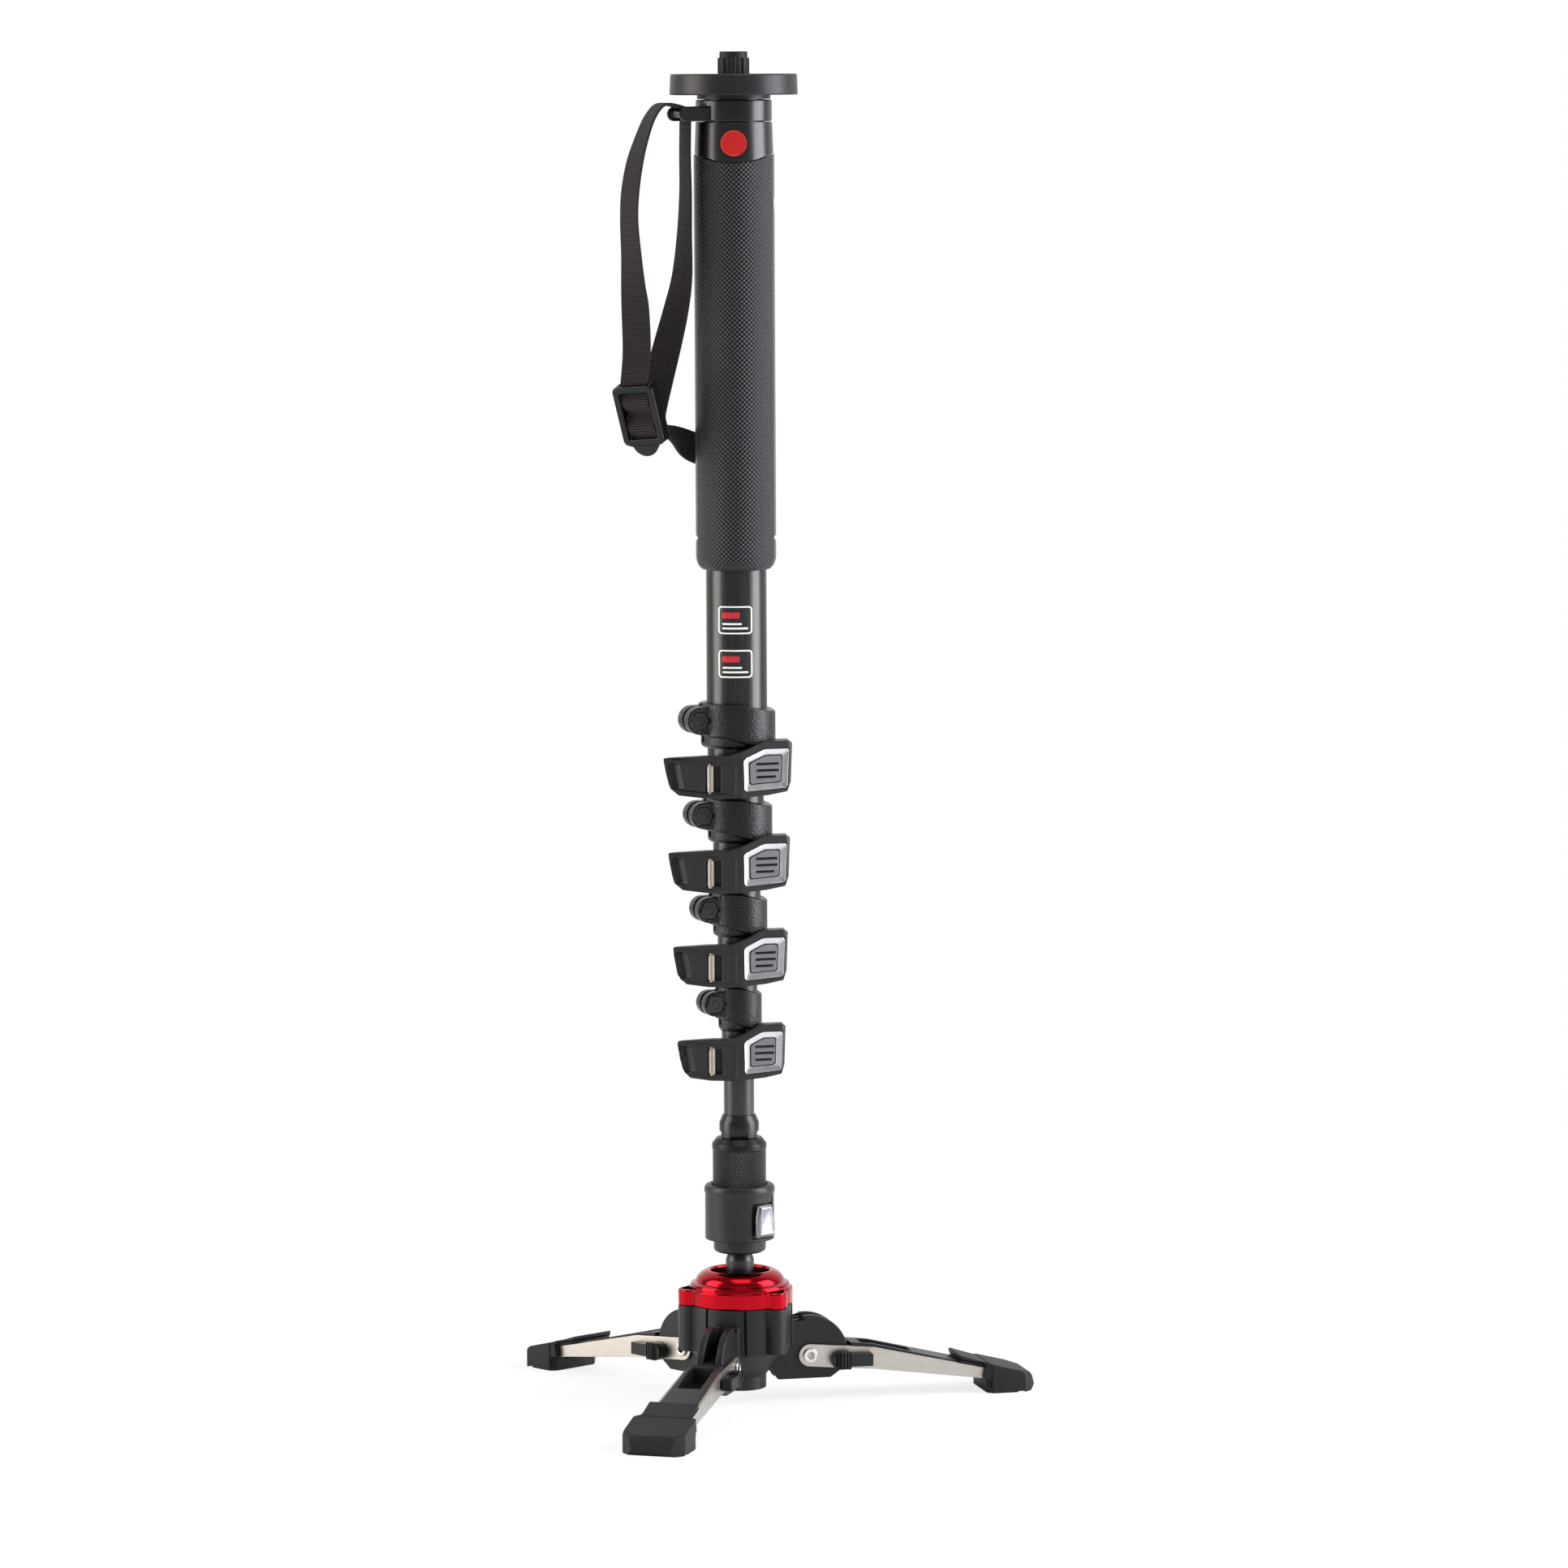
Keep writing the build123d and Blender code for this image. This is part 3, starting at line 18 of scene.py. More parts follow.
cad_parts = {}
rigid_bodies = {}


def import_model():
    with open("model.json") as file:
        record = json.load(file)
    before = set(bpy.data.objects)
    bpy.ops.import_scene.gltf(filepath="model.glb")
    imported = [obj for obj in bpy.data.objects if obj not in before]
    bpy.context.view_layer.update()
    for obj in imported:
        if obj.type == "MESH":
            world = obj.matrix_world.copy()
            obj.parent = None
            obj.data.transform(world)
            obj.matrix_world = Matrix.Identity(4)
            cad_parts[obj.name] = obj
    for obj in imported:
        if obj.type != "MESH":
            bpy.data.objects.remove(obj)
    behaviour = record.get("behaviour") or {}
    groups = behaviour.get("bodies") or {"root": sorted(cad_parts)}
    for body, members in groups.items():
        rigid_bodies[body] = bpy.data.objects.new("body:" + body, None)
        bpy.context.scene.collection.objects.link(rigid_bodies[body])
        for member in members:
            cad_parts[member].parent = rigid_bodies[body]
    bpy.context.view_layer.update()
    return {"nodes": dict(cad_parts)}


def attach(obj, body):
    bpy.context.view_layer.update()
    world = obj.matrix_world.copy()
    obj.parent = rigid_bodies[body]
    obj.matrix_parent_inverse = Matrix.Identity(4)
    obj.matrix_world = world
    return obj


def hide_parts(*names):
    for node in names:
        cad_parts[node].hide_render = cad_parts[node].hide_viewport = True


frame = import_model()
nodes = frame["nodes"]
MM = 0.001
print("loaded", len(nodes), "parts")

# %% [markdown]
# ## The camera
#
# The photograph was taken from about 3.5 m with a long lens, so the tubes hardly narrow
# towards the floor. It looks down by six degrees, which opens the ellipses of the base. The
# lens follows from how many pixels one millimetre covers: 8721 pixels of focal length in a
# frame of 1932 pixels.

# %% Camera
FRAME_PIXELS = 1932
FOCAL_PIXELS = 8721
SENSOR = 36.0
camera_place = Vector((23.2, -3500, 674.2)) * MM
look_down = math.radians(5.93)
camera_roll = math.radians(-0.27)


def added(name, operator, **settings):
    """Deselect everything, add an object with an operator and name it."""
    bpy.ops.object.select_all(action="DESELECT")
    operator(**settings)
    obj = bpy.context.object
    obj.name = name
    return obj


camera = added("camera", bpy.ops.object.camera_add, location=camera_place)
tilted = Matrix.Rotation(math.radians(90) - look_down, 4, "X") @ Matrix.Rotation(camera_roll, 4, "Z")
camera.rotation_euler = tilted.to_euler()
camera.data.sensor_width = SENSOR
camera.data.lens = FOCAL_PIXELS * SENSOR / FRAME_PIXELS
camera.data.clip_end = 50
bpy.context.scene.camera = camera
print("lens", round(camera.data.lens, 1), "mm")

# %% [markdown]
# ## Colours and nodes
#
# Colours are written as they look on a screen, as hex values. Blender calculates in linear
# light, so one function turns them. A second one adds a shader node, sets it and links it,
# which keeps each material short enough to read.


# %% Colour and node helpers
def colour(hex_value):
    """A screen colour such as "#1b1b1d" as linear red, green, blue and alpha."""
    shares = [int(hex_value[i:i + 2], 16) / 255 for i in (1, 3, 5)]
    return tuple(c / 12.92 if c <= 0.04045 else ((c + 0.055) / 1.055) ** 2.4 for c in shares) + (1.0,)


MATH, VECTOR_MATH = "ShaderNodeMath", "ShaderNodeVectorMath"


def add_node(tree, kind, settings=None, **inputs):
    """Add a node. An input is a value or a (node, output) pair; a word as setting is its operation."""
    node = tree.nodes.new(kind)
    if isinstance(settings, str):
        settings = {"operation": settings}
    for name, value in (settings or {}).items():
        setattr(node, name, value)
    for name, value in inputs.items():
        key = int(name[1:]) if name[0] == "i" and name[1:].isdigit() else name.replace("_", " ")
        if isinstance(value, tuple) and isinstance(value[0], bpy.types.Node):
            tree.links.new(value[0].outputs[value[1]], node.inputs[key])
        else:
            node.inputs[key].default_value = value
    return node


def new_material(name, **shader_inputs):
    """A material with one shader; returns the material, its node tree and the shader."""
    material = bpy.data.materials.new(name)
    material.use_nodes = True
    tree = material.node_tree
    shader = tree.nodes["Principled BSDF"]
    for key, value in shader_inputs.items():
        shader.inputs[key.replace("_", " ")].default_value = value
    return material, tree, shader


def mix_colours(tree, share, low, high):
    """A colour between two, by a (node, output) pair."""
    mix = add_node(tree, "ShaderNodeMix", {"data_type": "RGBA"})
    mix.inputs[6].default_value = low
    mix.inputs[7].default_value = high
    tree.links.new(share[0].outputs[share[1]], mix.inputs[0])
    return mix, 2


# %% [markdown]
# ## Studio
#
# A product photograph on white: a pale floor that runs to the horizon, a large soft light
# on each side for the bright bands along the tubes, and a weaker one above and in front.
# The floor is partly self-lit for the camera alone, so that it stays white but keeps a
# faint shadow, and a white backdrop stands behind. The rest of the room is grey, which is
# what keeps the blacks dark and makes the lamps stand out on them.

# %% Floor
WHITE = "#fafafa"


def white_card(obj, name):
    """White card that can glow; returns its nodes, the light paths and the input for its share."""
    material, tree, shader = new_material(name, Roughness=0.6)
    shader.inputs["Base Color"].default_value = colour(WHITE)
    paths = add_node(tree, "ShaderNodeLightPath")
    glow = add_node(tree, "ShaderNodeEmission", Strength=1.0)
    mixed = add_node(tree, "ShaderNodeMixShader", i1=(shader, 0), i2=(glow, 0))
    tree.links.new(mixed.outputs[0], tree.nodes["Material Output"].inputs["Surface"])
    obj.data.materials.append(material)
    return tree, paths, mixed.inputs[0]


floor = added("floor", bpy.ops.mesh.primitive_plane_add, size=60)
tree, paths, glow_share = white_card(floor, "white_sweep")
spot = add_node(tree, "ShaderNodeTexCoord")
away = add_node(tree, VECTOR_MATH, "LENGTH", i0=(spot, "Object"))
# near the feet the floor glows less, so that their shadow shows
own_light = add_node(tree, "ShaderNodeMapRange", Value=(away, 1), From_Min=0.25, From_Max=1.2,
                     To_Min=0.8, To_Max=1.0)
seen = add_node(tree, MATH, "MULTIPLY", i0=(paths, "Is Camera Ray"), i1=(own_light, 0))
tree.links.new(seen.outputs[0], glow_share)

# %% Backdrop and world
backdrop = added("backdrop", bpy.ops.mesh.primitive_plane_add, size=14, location=(0, 4, 7),
                 rotation=(math.radians(90), 0, 0))
tree, paths, glow_share = white_card(backdrop, "white_backdrop")
shown = (paths, "Is Camera Ray")
for ray in ("Is Glossy Ray", "Is Transmission Ray"):
    shown = (add_node(tree, MATH, "MAXIMUM", i0=shown, i1=(paths, ray)), 0)
tree.links.new(shown[0].outputs[0], glow_share)

ROOM_LIGHT = 0.34
world = bpy.data.worlds.new("studio")
bpy.context.scene.world = world
world.use_nodes = True
room = world.node_tree.nodes["Background"]
room.inputs["Color"].default_value = (1, 1, 1, 1)
room.inputs["Strength"].default_value = ROOM_LIGHT

# %% Lamps
MIDDLE = (0, 0, 0.34)


def softbox(name, place, size, power, tint=(1, 1, 1)):
    """A rectangular area light that faces the middle of the monopod; metres and watts."""
    lamp = added(name, bpy.ops.object.light_add, type="AREA", location=place)
    lamp.data.shape = "RECTANGLE"
    lamp.data.size, lamp.data.size_y = size
    lamp.data.energy = power
    lamp.data.color = tint
    facing = Vector(MIDDLE) - Vector(place)
    lamp.rotation_euler = facing.to_track_quat("-Z", "Y").to_euler()
    print(name, power, "W")


softbox("softbox_right", (1.6, -0.26, 0.75), (1.1, 1.8), 64, (0.93, 0.95, 1.0))
softbox("softbox_left", (-1.6, -0.3, 0.75), (1.05, 1.8), 38, (1.0, 0.95, 0.88))
softbox("softbox_top", (0.1, -0.7, 2.0), (1.2, 1.2), 10)
bpy.context.scene.view_settings.view_transform = "Standard"

# %% [markdown]
# ## Coordinates for patterns
#
# Object coordinates are in metres from the model's own origin, which lies on the tube axis.
# A pattern that runs round a tube needs the angle about that axis, so one helper gives the
# angle as a count of columns and the height as a count of rows.


# %% Pattern helpers
def object_mm(tree, scale=(1000, 1000, 1000)):
    """Object coordinates in millimetres, stretched if a scale is given."""
    place = add_node(tree, "ShaderNodeTexCoord")
    return add_node(tree, VECTOR_MATH, "MULTIPLY", i0=(place, "Object"), i1=scale), 0


def around(tree, columns, row):
    """Two outputs that count columns round the tube axis and rows of that many mm up it."""
    axes = add_node(tree, "ShaderNodeSeparateXYZ", i0=object_mm(tree))
    angle = add_node(tree, MATH, "ARCTAN2", i0=(axes, 1), i1=(axes, 0))
    column = add_node(tree, MATH, "MULTIPLY", i0=(angle, 0), i1=columns / math.tau)
    height = add_node(tree, MATH, "DIVIDE", i0=(axes, 2), i1=row)
    return (column, 0), (height, 0)


def diamonds(tree, columns, row):
    """A field of small pyramids on a slanted lattice, from 0 in the grooves to 1 on top."""
    column, height = around(tree, columns, row)
    slants = []
    for operation in ("ADD", "SUBTRACT"):
        line = add_node(tree, MATH, operation, i0=column, i1=height)
        slants.append((add_node(tree, MATH, "PINGPONG", i0=(line, 0), i1=0.5), 0))
    peak = add_node(tree, MATH, "MULTIPLY", i0=slants[0], i1=slants[1])
    return add_node(tree, MATH, "MULTIPLY", i0=(peak, 0), i1=4.0), 0


def speckle(tree, grain, detail=2.0, stretch=(1, 1, 1)):
    """Noise whose grain is a size in millimetres."""
    place = object_mm(tree, tuple(1000 * s for s in stretch))
    return add_node(tree, "ShaderNodeTexNoise", Vector=place, Scale=1 / grain, Detail=detail), 0


def bump(tree, shader, height, depth):
    """Raise the surface by a depth in millimetres where the height is 1."""
    relief = add_node(tree, "ShaderNodeBump", Height=height, Strength=1.0, Distance=depth * MM)
    tree.links.new(relief.outputs[0], shader.inputs["Normal"])


def spread(tree, value, low, high):
    """Turn a 0 to 1 pattern into a value between two levels."""
    level = add_node(tree, "ShaderNodeMapRange", Value=value, To_Min=low, To_Max=high)
    return level, 0


def link(tree, source, target):
    """Link a (node, output) pair to an input."""
    tree.links.new(source[0].outputs[source[1]], target)


def tones(tree, shader, pattern, dark, light):
    """Colour a surface between two screen colours by a pattern."""
    link(tree, mix_colours(tree, pattern, colour(dark), colour(light)), shader.inputs["Base Color"])


# %% [markdown]
# ## Blacks that are not the same
#
# Nearly everything here is black, and what tells the parts apart is how their surfaces
# were made. Cast and painted alloy has a fine pebble that breaks up highlights. Moulded
# plastic is smoother, with a faint grain. Rubber is dull and a little grey where it has
# been touched. Each gets its own grain, in real millimetres, and its own roughness.


# %% Black finishes
def black_finish(name, dark, light, grain, depth, rough, shine=0.3):
    """A grained black: two close colours, a pebble of that grain and depth, a roughness range."""
    material, tree, shader = new_material(name, Specular_IOR_Level=shine)
    mottle = speckle(tree, grain * 14, 3.0)
    tones(tree, shader, mottle, dark, light)
    link(tree, spread(tree, mottle, rough[0], rough[1]), shader.inputs["Roughness"])
    bump(tree, shader, speckle(tree, grain), depth)
    return material


# clamp bands: a coarse pebble that breaks their highlights into sparks
painted_alloy = black_finish("painted_magnesium", "#080809", "#0f0f11", 0.9, 0.3, (0.24, 0.34), 0.34)
# camera plate: a finer pebble, a shade paler
plate_alloy = black_finish("painted_aluminium_plate", "#171619", "#201f22", 0.6, 0.08, (0.34, 0.42), 0.28)
# tilt-lock collar: paint that is almost smooth
collar_paint = black_finish("painted_zinc_collar", "#19181a", "#222123", 0.6, 0.05, (0.32, 0.42), 0.28)
# foot socket: an even satin with a narrow highlight
satin_alloy = black_finish("anodised_aluminium_black", "#0d0d0f", "#151517", 0.4, 0.02, (0.24, 0.32), 0.34)
# levers: a faint warm grain, dull beside the bright frames
lever_plastic = black_finish("moulded_nylon_lever", "#201e1f", "#292627", 0.5, 0.03, (0.34, 0.42), 0.28)
# hub, spars and latches: a broad and weak highlight
hub_plastic = black_finish("glass_filled_nylon", "#121214", "#1a1a1c", 0.5, 0.05, (0.34, 0.44), 0.28)
# grip cap, strap ring and liners: smooth enough to show the lamps softly
cap_plastic = black_finish("moulded_abs_satin", "#111114", "#19191c", 0.4, 0.02, (0.22, 0.3), 0.45)
# buckle, gaskets and bars: the deepest black, with a small glint
gloss_plastic = black_finish("moulded_acetal_gloss", "#09090b", "#0f0f11", 0.6, 0.01, (0.16, 0.26), 0.24)
# feet and stud cap: dull, and a little grey
foot_rubber = black_finish("moulded_rubber", "#171618", "#201f21", 0.5, 0.06, (0.46, 0.56), 0.18)
# screws, stem and stud: dark metal with a clear glint
dark_steel = black_finish("blackened_steel", "#0b0b0d", "#131315", 0.4, 0.01, (0.28, 0.4), 0.5)
# panels in the frames: the one mid grey, flat beside the chrome
panel_grey = black_finish("anodised_panel_grey", "#5c5a5e", "#6e6c70", 0.4, 0.02, (0.36, 0.46), 0.4)

# %% [markdown]
# ## Carbon tubes
#
# The tubes are wound from carbon fibre under clear resin, and drawn smooth. The fibres show
# as faint lengthwise streaks in the highlights. The top tube carries two printed labels,
# here with plain bars in them: rounded rectangles, drawn in the material by their distance
# from a rounded box, on the flat unrolled surface of the tube.


# %% Carbon finish
def carbon_finish(name):
    """Fibres along the tube: a streaked dark colour, a streaked roughness, a slight relief."""
    material, tree, shader = new_material(name, Specular_IOR_Level=0.5)
    fibres = speckle(tree, 0.7, 3.0, (1, 1, 0.03))
    bands = speckle(tree, 3.5, 2.0, (1, 1, 0.04))
    both = add_node(tree, MATH, "MULTIPLY", i0=fibres, i1=bands)
    tone = mix_colours(tree, spread(tree, (both, 0), -0.5, 2.4), colour("#0e0d0f"), colour("#272425"))
    link(tree, tone, shader.inputs["Base Color"])
    link(tree, spread(tree, fibres, 0.22, 0.34), shader.inputs["Roughness"])
    bump(tree, shader, fibres, 0.02)
    return material, tree, shader, tone


carbon = carbon_finish("carbon_fibre_tube")[0]


# %% Printed labels
def rounded_box(tree, place, centre, half, corner):
    """Distance in mm from the edge of a rounded box, less than 0 inside it."""
    moved = add_node(tree, VECTOR_MATH, "SUBTRACT", i0=place, i1=(*centre, 0))
    folded = add_node(tree, VECTOR_MATH, "ABSOLUTE", i0=(moved, 0))
    reach = (half[0] - corner, half[1] - corner, 0)
    inner = add_node(tree, VECTOR_MATH, "SUBTRACT", i0=(folded, 0), i1=reach)
    outside = add_node(tree, VECTOR_MATH, "MAXIMUM", i0=(inner, 0), i1=(0, 0, 0))
    length = add_node(tree, VECTOR_MATH, "LENGTH", i0=(outside, 0))
    return add_node(tree, MATH, "SUBTRACT", i0=(length, 1), i1=corner), 0


def inside(tree, distance):
    """1 where a distance is less than 0, and 0 elsewhere."""
    return add_node(tree, MATH, "LESS_THAN", i0=distance, i1=0.0), 0


TUBE_RADIUS = 15.0
LABEL_ASIDE = -0.6
LABELS = (393.6, 371.9)
# the colour of each plain mark, its middle in the label and its half size
PRINT = [
    ("#dedcdb", (0, -4.1), (6.6, 0.45)),
    ("#dedcdb", (-1.6, -1.9), (5.0, 0.45)),
    ("#b8202c", (-2.2, 2.3), (4.4, 1.5)),
]
labelled_carbon, tree, shader, tone = carbon_finish("carbon_fibre_tube_printed")
axes = add_node(tree, "ShaderNodeSeparateXYZ", i0=object_mm(tree))
backward = add_node(tree, MATH, "MULTIPLY", i0=(axes, 1), i1=-1.0)
angle = add_node(tree, MATH, "ARCTAN2", i0=(axes, 0), i1=(backward, 0))
arc = add_node(tree, MATH, "MULTIPLY", i0=(angle, 0), i1=TUBE_RADIUS)
unrolled = add_node(tree, "ShaderNodeCombineXYZ", i0=(arc, 0), i1=(axes, 2), i2=0.0)
for height in LABELS:
    middle = (LABEL_ASIDE, height)
    layers = [(rounded_box(tree, (unrolled, 0), middle, (8.9, 6.9), 2.0), "#e4e2e1"),
              (rounded_box(tree, (unrolled, 0), middle, (8.2, 6.2), 1.4), "#1b1a1c")]
    for ink, (across, up), half in PRINT:
        middle = (across + LABEL_ASIDE, height + up)
        layers.append((rounded_box(tree, (unrolled, 0), middle, half, 0.4), ink))
    for distance, ink in layers:
        mix = mix_colours(tree, inside(tree, distance), (0, 0, 0, 1), colour(ink))
        link(tree, tone, mix[0].inputs[6])
        tone = mix
link(tree, tone, shader.inputs["Base Color"])

# %% [markdown]
# ## Patterns that run round a tube
#
# The grip has rows of small moulded diamonds, and two smooth strips down its sides. The
# coupling sleeve is knurled: a wheel has pressed a finer field of diamonds into the metal.
# Both are drawn as relief on the unrolled surface, so that they stay even all the way
# round, and they are blended out where the real surface is smooth.

# %% Grip rubber
GRIP_COLUMNS = 54
GRIP_ROW = 2.3
STRIP_HALF = 6.5
grip_rubber, tree, shader = new_material("diamond_grip_rubber", Specular_IOR_Level=0.2)
pyramids = diamonds(tree, GRIP_COLUMNS, GRIP_ROW)
axes = add_node(tree, "ShaderNodeSeparateXYZ", i0=object_mm(tree))
aside = add_node(tree, MATH, "ABSOLUTE", i0=(axes, 1))
patterned = add_node(tree, MATH, "GREATER_THAN", i0=(aside, 0), i1=STRIP_HALF)
edge = add_node(tree, MATH, "COMPARE", i0=(aside, 0), i1=STRIP_HALF, i2=0.3)
field = add_node(tree, MATH, "MULTIPLY", i0=pyramids, i1=(patterned, 0))
smooth = add_node(tree, MATH, "SUBTRACT", i0=1.0, i1=(patterned, 0))
relief = add_node(tree, MATH, "MULTIPLY_ADD", i0=(smooth, 0), i1=0.8, i2=(field, 0))
relief = add_node(tree, MATH, "SUBTRACT", i0=(relief, 0), i1=(edge, 0))
# painted shade and light: the colour follows the relief, near black in the grooves and along the edges of
# the strips, grey on the tops of the diamonds and on the smooth strips
tones(tree, shader, (relief, 0), "#010101", "#504d53")
link(tree, spread(tree, speckle(tree, 6.0), 0.28, 0.36), shader.inputs["Roughness"])
bump(tree, shader, (relief, 0), 0.4)

# %% Knurled metal
# the real pitch is about 1 mm; it is drawn coarser, as one so fine would not show
KNURL_COLUMNS = 46
KNURL_ROW = 1.8
KNURL_TOP = 127.6
knurled_metal, tree, shader = new_material("knurled_aluminium_black", Specular_IOR_Level=0.26)
points = diamonds(tree, KNURL_COLUMNS, KNURL_ROW)
axes = add_node(tree, "ShaderNodeSeparateXYZ", i0=object_mm(tree))
below = add_node(tree, MATH, "LESS_THAN", i0=(axes, 2), i1=KNURL_TOP)
field = add_node(tree, MATH, "MULTIPLY", i0=points, i1=(below, 0))
# painted shade and light: the colour follows the relief, near black in the grooves and on the smooth band
# above, grey on the points
tones(tree, shader, (field, 0), "#010101", "#464549")
link(tree, spread(tree, speckle(tree, 3.0), 0.3, 0.4), shader.inputs["Roughness"])
bump(tree, shader, (field, 0), 0.9)

# %% Webbing
# ribs about 1.2 mm apart, crossed by fine warp threads: dry and dull beside the plastics
RIB = 1.2
THREAD = 0.75
webbing_nylon, tree, shader = new_material("woven_nylon_webbing", Specular_IOR_Level=0.1,
                                           Sheen_Weight=0.05, Sheen_Roughness=0.4)
place = add_node(tree, "ShaderNodeUVMap", {"uv_map": "webbing_mm"})
axes = add_node(tree, "ShaderNodeSeparateXYZ", i0=(place, 0))
ribs = add_node(tree, MATH, "PINGPONG", i0=(axes, 1), i1=RIB / 2)
ribs = spread(tree, (ribs, 0), 0.0, 1.0)
ribs[0].inputs["From Max"].default_value = RIB / 2
threads = add_node(tree, MATH, "PINGPONG", i0=(axes, 0), i1=THREAD / 2)
threads = spread(tree, (threads, 0), 0.0, 0.5)
threads[0].inputs["From Max"].default_value = THREAD / 2
weave = add_node(tree, MATH, "ADD", i0=ribs, i1=threads)
# painted shade and light: the colour goes near black between the ribs and brown-grey on their crests
tones(tree, shader, ribs, "#020202", "#3a3435")
link(tree, spread(tree, speckle(tree, 3.0), 0.5, 0.68), shader.inputs["Roughness"])
bump(tree, shader, (weave, 0), 0.35)

# %% [markdown]
# ## Bright metals
#
# A metal has no colour of its own under its highlights, so its base colour is the colour of
# its reflection. The chrome frames and the button are nearly mirrors. The leg plates are
# stainless steel with a satin brushing, warm grey. The red ring is aluminium whose
# anodised layer carries a dye, turned on a lathe, so faint rings run round it.


# %% Metals
def brushed_metal(name, low, high, rough, grain, stretch, depth):
    """A metal with fine scratches along one axis."""
    material, tree, shader = new_material(name, Metallic=1.0)
    scratches = speckle(tree, grain, 3.0, stretch)
    tones(tree, shader, scratches, low, high)
    link(tree, spread(tree, scratches, rough[0], rough[1]), shader.inputs["Roughness"])
    bump(tree, shader, scratches, depth)
    return material


# frames: nearly a mirror, with soft edges to what it reflects
chrome = brushed_metal("satin_chrome", "#b4b4b7", "#cbcbcd", (0.24, 0.32), 6.0, (1, 1, 1), 0.002)
# button: a duller, greyer mirror
zinc_button = brushed_metal("polished_zinc_casting", "#727277", "#909095", (0.3, 0.4), 5.0,
                            (1, 1, 0.4), 0.003)
# leg plates: warm grey, with scratches that stretch the highlight
stainless = brushed_metal("brushed_stainless", "#a39e97", "#c2bdb5", (0.3, 0.42), 0.6,
                          (0.15, 0.15, 1), 0.01)
# rollers: pressed from powder, so rough and matt
pin_steel = brushed_metal("sintered_steel_pin", "#857d74", "#b9b1a6", (0.4, 0.6), 0.7,
                          (1, 1, 0.5), 0.06)
# rivets and ring screws: small bright ends
rivet_steel = brushed_metal("turned_steel", "#b8b5b0", "#dedbd6", (0.2, 0.3), 2.0, (1, 1, 1), 0.002)
# the ring: a red mirror with faint rings from the lathe
red_anodised = brushed_metal("red_anodised_aluminium", "#8c0c16", "#b81724", (0.13, 0.2), 0.3,
                             (0.05, 0.05, 1), 0.004)
# the round badge: smooth enamel that keeps one clear highlight
red_gloss, tree, shader = new_material("red_enamel", Roughness=0.18)
tones(tree, shader, speckle(tree, 4.0), "#a51714", "#b51e19")


# %% [markdown]
# ## Dress every part
#
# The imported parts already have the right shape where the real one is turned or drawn, so
# those keep their solids and only take a finish. The moulded and cast ones have sharp
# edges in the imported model. Light catches a real edge because it is rounded, so each of
# those gets a copy with bevelled edges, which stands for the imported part.


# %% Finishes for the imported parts
def paint(material, *names):
    """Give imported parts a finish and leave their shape."""
    for name in names:
        mesh = nodes[name].data
        mesh.materials.clear()
        mesh.materials.append(material)


LOCKS = range(1, 5)
LEGS = range(1, 4)
paint(carbon, *[f"tube_{n}" for n in range(2, 6)])
paint(labelled_carbon, "tube_1")
paint(dark_steel, "camera_stud", "ball_stem")
paint(cap_plastic, *[f"lock_liner_{n}" for n in LOCKS], "pan_rotor", "tilt_cradle")
paint(plate_alloy, "top_plate")


# %% Modelling helpers
def activate(obj):
    """Leave one object selected and active."""
    bpy.ops.object.select_all(action="DESELECT")
    obj.select_set(True)
    bpy.context.view_layer.objects.active = obj


def edit(obj, faces=None, edges=None):
    """Enter edit mode with the faces or edges selected that a test accepts; the test gets millimetres."""
    activate(obj)
    bpy.ops.object.mode_set(mode="EDIT")
    bpy.ops.mesh.select_mode(type="FACE" if faces else "EDGE")
    bpy.ops.mesh.select_all(action="DESELECT")
    shape = bmesh.from_edit_mesh(obj.data)
    for face in shape.faces if faces else ():
        if faces(face.calc_center_median() / MM, face.normal):
            face.select_set(True)
    for edge in shape.edges if edges else ():
        if edges(edge.verts[0].co / MM, edge.verts[1].co / MM):
            edge.select_set(True)
    bmesh.update_edit_mesh(obj.data)


def leave_edit():
    """Go back to object mode."""
    bpy.ops.object.mode_set(mode="OBJECT")


def round_edges(obj, width, test):
    """Round by hand the edges whose two ends pass a test."""
    edit(obj, edges=test)
    bpy.ops.mesh.bevel(offset=width * MM, segments=4, affect="EDGES", clamp_overlap=True)
    leave_edit()


def modify(obj, kind, **settings):
    """Add a modifier, set it and apply it."""
    activate(obj)
    modifier = obj.modifiers.new(kind.lower(), kind)
    for key, value in settings.items():
        setattr(modifier, key, value)
    bpy.ops.object.modifier_apply(modifier=modifier.name)


STRAY_SHARE = 0.75


def soften(obj, width, segments=2, angle=30):
    """Round every edge sharper than an angle, and let the large flat faces lead the shading."""
    corners = [vertex.co.copy() for vertex in obj.data.vertices]
    before = BVHTree.FromPolygons(corners, [list(face.vertices) for face in obj.data.polygons])
    modify(obj, "BEVEL", width=width * MM, segments=segments, limit_method="ANGLE",
           angle_limit=math.radians(angle), use_clamp_overlap=False)
    # a bevel throws a few vertices far off where short edges meet: those go back to the old surface
    for vertex in obj.data.vertices:
        near, _, _, distance = before.find_nearest(vertex.co)
        if distance > STRAY_SHARE * width * MM:
            vertex.co = near
    activate(obj)
    bpy.ops.object.shade_smooth_by_angle(angle=math.radians(40))
    modify(obj, "WEIGHTED_NORMAL", keep_sharp=True)


def join_flat(obj):
    """Join the triangles of each flat area into one face, so that a bevel sees only real edges."""
    activate(obj)
    bpy.ops.object.mode_set(mode="EDIT")
    bpy.ops.mesh.select_all(action="SELECT")
    bpy.ops.mesh.dissolve_limited(angle_limit=math.radians(1))
    leave_edit()


